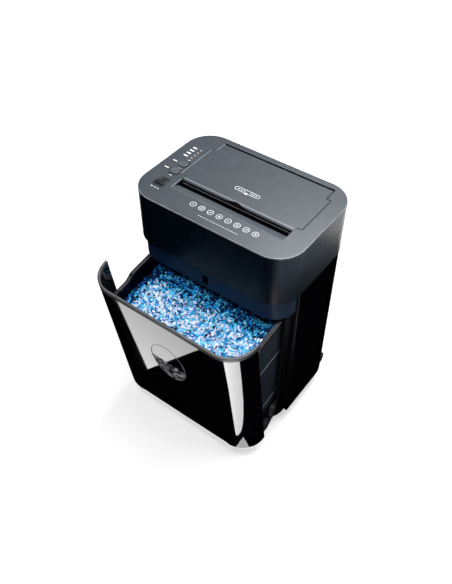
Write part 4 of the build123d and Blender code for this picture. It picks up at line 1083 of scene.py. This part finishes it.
@dataclass
class SlotTrim:
    """Slot trim: painted-shade band and painted-highlight strip on the nose, pale line, painted-light front
    lip.
    """

    middle: float = 11.5 * MM
    half_length: float = 111.3 * MM
    axis_y: float = -27.0 * MM
    axis_z: float = 476.0 * MM
    radius: float = 7.0 * MM
    low: float = 464.1 * MM
    start: float = math.radians(56.0)
    rise: float = math.radians(40.0)
    rise_width: float = 14.0 * MM
    scoop_radius: float = 30.0 * MM
    scoop_axis: float = 443.0 * MM
    shade_band_steps: tuple[int, int] = (81, 9)
    skin: float = 0.12 * MM
    root: float = 0.5 * MM
    highlight_angles: Pair = (math.radians(3.0), math.radians(30.0))
    highlight_steps: int = 8
    line: tuple[float, ...] = (11.5, -34.0, 220.0, 1.0, 0.0)
    line_levels: Pair = (475.6 * MM, 476.3 * MM)
    lip_run: Pair = (-63.4 * MM, -44.4 * MM)
    lip_ends: Pair = (-100.2 * MM, 123.2 * MM)
    lip_top: float = 483.04 * MM
    lip_drop: float = 6.5 * MM
    lip_curve: float = 1.7
    lip_root: float = 0.2 * MM
    lip_steps: int = 13

    def build(self) -> None:
        """Make the painted-shade shell, the painted-highlight strip, the painted-light lip and the line."""
        make_piece("nose_shade", self.shade_band(), "slot_black", "lid")
        make_piece("nose_highlight", self.highlight_strip(), "nose_highlight_paint", "lid")
        make_piece("slot_lip", self.lip(), "lip_painted_light", "cabinet")
        line = bars(np.array([self.line]), *self.line_levels)
        make_piece("slot_line", line, "window_trim", "lid", smooth=False)

    def highlight_strip(self) -> Skin:
        """Painted-highlight strip along the start of the nose's round: an arc of its circle carried along X.

        Returns:
            Points and faces.
        """
        angle = np.linspace(*self.highlight_angles, self.highlight_steps)
        angle = np.append(angle, angle[::-1])
        radius = self.radius + np.repeat([self.skin / 2, -self.root], self.highlight_steps)
        y, z = self.axis_y - radius * np.sin(angle), self.axis_z + radius * np.cos(angle)
        profile = np.stack([y, z], axis=-1)
        return prism(profile, (self.middle - self.half_length, self.middle + self.half_length))

    def lip(self) -> Skin:
        """Rounded front lip of the slot, in a grey lighter than the cover: painted light.

        Its height falls with a power of the way from the top cover to the slot, so it leaves the cover level
        and ends at the lower edge of the straight slope under it.

        Returns:
            Points and faces.
        """
        way = np.linspace(0, 1, self.lip_steps)
        y = self.lip_run[0] + (self.lip_run[1] - self.lip_run[0]) * way
        upper = self.lip_top - self.lip_drop * way**self.lip_curve
        lower = self.lip_top - self.lip_root - self.lip_drop * way
        profile = np.stack([np.append(y, y[::-1]), np.append(upper, lower[::-1])], axis=-1)
        return prism(profile, self.lip_ends)

    def shade_band(self) -> Skin:
        """Thin dark shell over the nose: painted shade.

        At each place along X the profile follows the nose's circle from a starting angle to the front and
        then runs straight down to the nose's lower edge or to the scoop's circle. The starting angle is the
        usual one less a bell curve over the scoop.

        Returns:
            Points and faces.
        """
        stations, steps = self.shade_band_steps
        x = np.linspace(-self.half_length, self.half_length, stations)[:, None]
        start = self.start - self.rise * np.exp(-((x / self.rise_width) ** 2))
        angle = start + (math.pi / 2 - start) * np.linspace(0, 1, steps)[None, :]
        scoop = self.scoop_axis + np.sqrt(np.maximum(self.scoop_radius**2 - x**2, 0))
        bottom = np.maximum(self.low, scoop + self.skin)
        layers = []
        for radius in (self.radius + self.skin, self.radius - self.root):
            y = self.axis_y - radius * np.sin(angle)
            z = self.axis_z + radius * np.cos(angle)
            layers.append(np.stack([np.append(y, y[:, -1:], axis=1), np.append(z, bottom, axis=1)], axis=-1))
        ring = np.concatenate([layers[0], layers[1][:, ::-1]], axis=1)
        across = np.broadcast_to((x + self.middle)[:, :, None], (*ring.shape[:2], 1))
        return loft(np.concatenate([across, ring], axis=-1))


@dataclass
class ShredHeap:
    """Loose cross-cut shreds over the CAD heap, in several papers, darkened by painted shade under the head
    and down the left fall.
    """

    bin_frame: BinFrame
    half_width: float = 138.0 * MM
    front: float = -96.0 * MM
    back: float = 91.0 * MM
    corner: float = 22.0 * MM
    margin: float = 2.0 * MM
    plateau: float = 308.0 * MM
    shoulder: float = 300.0 * MM
    shoulder_run: float = 11.4 * MM
    left_wall: float = -142.0 * MM
    left_drop: float = 26.0 * MM
    left_run: float = 46.0 * MM
    lump: float = 0.9 * MM
    lump_rise: float = 0.6
    count: int = 10500
    width: Pair = (2.4 * MM, 3.6 * MM)
    length: Pair = (4.5 * MM, 9.5 * MM)
    thickness: float = 0.2 * MM
    sections: int = 4
    lift: float = 3.4 * MM
    bow: float = 45.0
    pitch: float = 0.34
    roll: float = 0.36
    papers: tuple[tuple[str, float], ...] = (
        ("paper_white", 0.29), ("paper_lilac", 0.09), ("paper_sky", 0.24),
        ("paper_blue", 0.21), ("paper_deep", 0.11), ("paper_navy", 0.06),
    )
    # Painted shade: where and how much the papers darken under the head and down the left fall.
    head_shadow_from: float = -20.0 * MM
    head_shadow_run: float = 24.0 * MM
    clump_share: float = 0.16
    fall_shade_share: float = 0.85
    head_shadow_share: float = 0.5
    painted_shade_most: float = 0.7
    darkest: float = 0.999
    sparse: float = 0.75

    def top(self, x: np.ndarray, y: np.ndarray) -> np.ndarray:
        """Height of the heap: a plateau, an even fall to the walls, a longer fall to the left, and lumps.

        Args:
            x: places across.
            y: places from front to back.

        Returns:
            The lowest of plateau and falls at each place, plus a sum of three waves.
        """
        reach = np.minimum(self.half_width - np.abs(x), np.minimum(y - self.front, self.back - y))
        edge = self.shoulder + (self.plateau - self.shoulder) * np.clip(reach / self.shoulder_run, 0, 1)
        left = self.plateau - self.left_drop * (1 - (x - self.left_wall) / self.left_run)
        broad = np.sin(x * 61 + 1.3) * np.cos(y * 74 - 0.4)
        slanted = 0.7 * np.sin(x * 137 - y * 91)
        fine = 0.5 * np.cos(y * 171 + x * 43)
        return np.minimum(edge, left) + self.lump * (broad + slanted + fine + self.lump_rise)

    def build(self) -> None:
        """Scatter the shreds and make one piece of each paper.

        A shred's paper follows from a random draw, plus a wavy pattern of clumps, plus painted shade: darker
        papers down the left fall and in the head's shadow. Fewer shreds down the left fall let the near-black
        core show, also painted shade.
        """
        draw = np.random.default_rng(SEED)
        x, y = self.places(draw)
        fall = np.clip(1 - (x - self.left_wall) / self.left_run, 0, 1)
        # Fewer shreds down the left fall, so the near-black core shows: painted shade.
        kept = draw.random(len(x)) > self.sparse * np.sqrt(fall)
        x, y, fall = x[kept], y[kept], fall[kept]
        points = self.strips(draw, x, y)
        clumps = np.sin(x * 190 + 2.0 * np.sin(y * 130)) * np.cos(y * 210 + 1.5 * np.sin(x * 110))
        # Darker papers in the head's shadow and down the left fall: painted shade.
        head_shadow = np.clip((y - self.head_shadow_from) / self.head_shadow_run, 0, 1)
        painted_shade = np.minimum(self.fall_shade_share * fall + self.head_shadow_share * head_shadow, self.painted_shade_most)
        shade = np.clip(draw.random(len(x)) + self.clump_share * clumps + painted_shade, 0, self.darkest)
        kinds = np.searchsorted(np.cumsum([share for _, share in self.papers]), shade)
        for index, (paper, _) in enumerate(self.papers):
            chosen = points[kinds == index]
            skin = chosen.reshape(-1, 3), self.strip_faces(len(chosen))
            make_piece(f"shreds_{paper}", skin, paper, "bin", smooth=False)

    def places(self, draw: np.random.Generator) -> tuple[np.ndarray, np.ndarray]:
        """Even random places in the tub's plan, a rectangle with round corners.

        Args:
            draw: the seeded source of places.

        Returns:
            Places across and along.
        """
        x = draw.uniform(-self.half_width + self.margin, self.half_width - self.margin, self.count)
        y = draw.uniform(self.front + self.margin, self.back - self.margin, self.count)
        past_x = np.maximum(np.abs(x) - self.half_width + self.corner, 0)
        middle = (self.front + self.back) / 2
        past_y = np.maximum(np.abs(y - middle) - (self.back - self.front) / 2 + self.corner, 0)
        kept = np.hypot(past_x, past_y) < self.corner - self.margin
        return x[kept], y[kept]

    def strips(self, draw: np.random.Generator, x: np.ndarray, y: np.ndarray) -> np.ndarray:
        """Points of all shreds: short bowed strips with four points round each section.

        Args:
            draw: the seeded source of sizes and turns.
            x: places across.
            y: places along.

        Returns:
            Points, one block per shred, at rest.
        """
        count = len(x)
        z = self.top(x, y) + draw.random(count) * self.lift
        length = draw.uniform(*self.length, count)
        width = draw.uniform(*self.width, count)
        along = np.linspace(-0.5, 0.5, self.sections)[None, :] * length[:, None]
        bow = draw.normal(0, self.bow, count)[:, None] * along**2
        side = np.array([-0.5, 0.5, 0.5, -0.5])[None, None, :] * width[:, None, None]
        thick = np.array([-0.5, -0.5, 0.5, 0.5])[None, None, :] * self.thickness
        parts = np.broadcast_arrays(along[:, :, None], side, bow[:, :, None] + thick)
        yaw = draw.random(count) * 2 * math.pi
        pitch = draw.normal(0, self.pitch, count)
        turned = self.turn(np.stack(parts, axis=-1), yaw, pitch, draw.normal(0, self.roll, count))
        home = (turned + np.stack([x, y, z], axis=-1)[:, None, None, :]).reshape(-1, 3)
        home[:, 0] = np.clip(home[:, 0], -self.half_width, self.half_width)
        home[:, 1] = np.clip(home[:, 1], self.front, self.back)
        return self.bin_frame.place(home).reshape(count, -1, 3)

    @staticmethod
    def turn(local: np.ndarray, yaw: np.ndarray, pitch: np.ndarray, roll: np.ndarray) -> np.ndarray:
        """Turn each shred by its own roll, pitch and yaw.

        Args:
            local: points about each shred's middle.
            yaw: turns about Z.
            pitch: turns about Y.
            roll: turns about X.

        Returns:
            The turned points.
        """
        x, y, z = local[..., 0], local[..., 1], local[..., 2]
        cr, sr = np.cos(roll)[:, None, None], np.sin(roll)[:, None, None]
        y, z = y * cr - z * sr, y * sr + z * cr
        cp, sp = np.cos(pitch)[:, None, None], np.sin(pitch)[:, None, None]
        x, z = x * cp + z * sp, -x * sp + z * cp
        cy, sy = np.cos(yaw)[:, None, None], np.sin(yaw)[:, None, None]
        return np.stack([x * cy - y * sy, x * sy + y * cy, z], axis=-1)

    def strip_faces(self, count: int) -> np.ndarray:
        """Faces of many closed strips: four sides between sections and a cap at each end.

        Args:
            count: number of strips.

        Returns:
            Point numbers, four to a face.
        """
        last = np.arange(4) + 4 * (self.sections - 1)
        one = np.concatenate([grid_faces(self.sections, 4), [[0, 3, 2, 1]], [last]])
        return (one[None] + np.arange(count)[:, None, None] * self.sections * 4).reshape(-1, 4)


@dataclass(frozen=True)
class Lamp:
    """A soft rectangular lamp: its stand, the point it faces, its width and height, and its watts."""

    name: str
    place: tuple[float, float, float]
    aim: tuple[float, float, float]
    size: Pair
    power: float

    def light(self) -> None:
        """Add the lamp."""
        data = bpy.data.lights.new(self.name, "AREA")
        data.shape = "RECTANGLE"
        data.size, data.size_y = self.size
        data.energy = self.power
        lamp = show(self.name, data)
        lamp.location = self.place
        lamp.rotation_mode = "QUATERNION"
        lamp.rotation_quaternion = (Vector(self.aim) - Vector(self.place)).to_track_quat("-Z", "Y")


@dataclass(frozen=True)
class Card:
    """A card or dark flag on the floor that only mirror reflections see, its corners in plan and in order.

    Its brightness runs evenly along Y, from that of its rear edge to that of its front edge.
    """

    name: str
    corners: tuple[Pair, ...]
    rear: float
    front: float
    height: float = 0.0008
    tint: Color = WHITE

    def lay(self) -> None:
        """Lay the card."""
        mesh = bpy.data.meshes.new(self.name)
        mesh.from_pydata([(x, y, self.height) for x, y in self.corners], [], [list(range(len(self.corners)))])
        material, graph, _ = new_material(self.name)
        rows = [y for _, y in self.corners]
        depth = graph.axis(graph.place(), "Y")
        strength = graph.spread(depth, (min(rows), max(rows)), (self.front, self.rear))
        glow = graph.add("ShaderNodeEmission", {"Color": self.tint, "Strength": strength})
        graph.link(glow.outputs[0], graph.tree.nodes["Material Output"], "Surface")
        mesh.materials.append(material)
        card = show(self.name, mesh)
        card.visible_camera = card.visible_diffuse = card.visible_shadow = False
        card.visible_transmission = card.visible_volume_scatter = False


def square(half: float) -> tuple[Pair, ...]:
    """Return the corners of a square about the middle of the floor."""
    return (-half, -half), (half, -half), (half, half), (-half, half)


@dataclass
class Studio:
    """Camera, lamps, white floor, and the dark flag and light cards that a gloss front reflects."""

    azimuth: float = math.radians(36.43)
    elevation: float = math.radians(46.72)
    roll: float = math.radians(0.14)
    station: tuple[float, float, float] = (0.5061, -0.7286, 1.1780)
    focal_pixels: float = 667.0
    image_height: float = 584.0
    sensor: float = 36.0
    clip: Pair = (0.01, 50.0)
    floor_half: float = 4.0
    floor_grey: Color = (0.5, 0.5, 0.5, 1)
    floor_roughness: float = 0.9
    # Floor lift grows with distance from the middle: painted light on the far floor.
    lift_range: Pair = (0.5, 1.2)
    lift: Pair = (0.58, 1.0)
    surround: Pair = (0.12, 1.0)
    lamps: tuple[Lamp, ...] = (
        Lamp("overhead", (0.0, 0.6, 1.7), (0, 0, 0.4), (0.7, 0.5), 32.0),
        Lamp("left_spot", (-0.66, 0.2, 1.8), (0, 0, 0.48), (0.3, 0.3), 1.5),
        Lamp("top_right", (0.55, -0.05, 1.7), (0.1, -0.1, 0.4), (0.5, 0.5), 14.0),
        Lamp("front_top", (0.1, -0.75, 1.9), (0, -0.15, 0.3), (0.8, 0.5), 17.5),
    )
    cards: tuple[Card, ...] = (
        Card("flag_dark", square(2.5), 0.0, 0.0, height=0.0004),
        Card("card_front", ((-0.1442, -0.2350), (-0.3446, -0.3467), (-0.0657, -0.3456)), 2.6, 2.15),
        Card("card_corner", (
            (0.136, -0.221), (0.147, -0.218), (0.172, -0.218), (0.190, -0.2205), (0.212, -0.2245),
            (0.248, -0.233), (0.292, -0.252), (0.325, -0.271), (0.39, -0.31), (0.120, -0.46),
            (0.126, -0.378), (0.139, -0.323),
        ), 4.3, 9.0),
        Card("card_under", (
            (-0.120, -0.150), (-0.120, -0.194), (0.125, -0.196), (0.131, -0.199), (0.148, -0.205),
            (0.168, -0.204), (0.170, -0.188), (0.166, -0.175), (0.160, -0.150),
        ), 2.4, 2.4),
        Card("card_right", (
            (0.455, -0.42), (0.52, -0.33), (0.585, -0.20), (0.615, -0.05), (0.60, 0.10), (0.53, 0.26),
            (0.43, 0.38), (0.43, 0.75), (0.70, 0.75), (0.80, 0.40), (0.88, 0.10), (0.88, -0.15),
            (0.80, -0.45), (0.70, -0.70), (0.455, -0.70),
        ), 0.9, 4.6, tint=(0.84, 0.96, 1.2, 1)),
        Card("card_left", ((-0.43, 0.1), (-0.43, 0.9), (-0.9, 0.9), (-0.9, 0.1)), 0.8, 1.6),
        Card("card_back", ((-0.7, 0.5), (0.7, 0.5), (0.7, 1.8), (-0.7, 1.8)), 2.2, 2.2, height=0.0009),
    )

    def camera(self) -> None:
        """Place the camera at the photograph's station and angle."""
        data = bpy.data.cameras.new("camera")
        data.sensor_width = self.sensor
        data.lens = self.focal_pixels / self.image_height * self.sensor
        data.clip_start, data.clip_end = self.clip
        camera = show("camera", data)
        level = math.cos(self.elevation)
        across, along = math.sin(self.azimuth) * level, -math.cos(self.azimuth) * level
        back = Vector((across, along, math.sin(self.elevation)))
        camera.rotation_mode = "QUATERNION"
        camera.rotation_quaternion = (-back).to_track_quat("-Z", "Y") @ Quaternion((0, 0, 1), self.roll)
        camera.location = self.station
        bpy.context.scene.camera = camera

    def floor(self) -> None:
        """Lay the pale floor, lifted to white for the camera, more so further out (painted light), still
        taking the shadow.
        """
        mesh = bpy.data.meshes.new("floor")
        mesh.from_pydata([(x, y, 0) for x, y in square(self.floor_half)], [], [(0, 1, 2, 3)])
        material, graph, shader = new_material("floor_white")
        shader.inputs["Base Color"].default_value = self.floor_grey
        shader.inputs["Roughness"].default_value = self.floor_roughness
        shader.inputs["Specular IOR Level"].default_value = 0.0
        shader.inputs["Emission Color"].default_value = WHITE
        seen = graph.add("ShaderNodeLightPath").outputs["Is Camera Ray"]
        # More lift further out: painted light that whitens the far floor.
        away = graph.add("ShaderNodeVectorMath", {0: graph.place()}, operation="LENGTH").outputs["Value"]
        lift = graph.spread(away, self.lift_range, self.lift)
        graph.link(graph.math("MULTIPLY", seen, lift), shader, "Emission Strength")
        mesh.materials.append(material)
        floor = show("floor", mesh)

    def world(self) -> None:
        """Even pale surround, white where the camera looks past the floor."""
        world = bpy.data.worlds.new("surround")
        world.use_nodes = True
        graph = Graph(world.node_tree)
        back = world.node_tree.nodes["Background"]
        back.inputs["Color"].default_value = WHITE
        seen = graph.add("ShaderNodeLightPath").outputs["Is Camera Ray"]
        graph.link(graph.spread(seen, (0.0, 1.0), self.surround), back, "Strength")
        bpy.context.scene.world = world

    def build(self) -> None:
        """Set up the whole studio."""
        self.camera()
        self.world()
        self.floor()
        for lamp in self.lamps:
            lamp.light()
        for card in self.cards:
            card.lay()
        bpy.context.scene.view_settings.view_transform = "Standard"


def main() -> None:
    """Dress the frame, add the pieces and set up the studio."""
    logging.basicConfig(level=logging.INFO, format="%(name)s %(message)s")
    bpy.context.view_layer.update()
    Dressing().dress()
    bin_frame = BinFrame()
    PanelMarks().build()
    HeadLines().build()
    SlotTrim().build()
    BinTrim(bin_frame).build()
    ShredHeap(bin_frame).build()
    Studio().build()


if __name__ == "__main__":
    main()
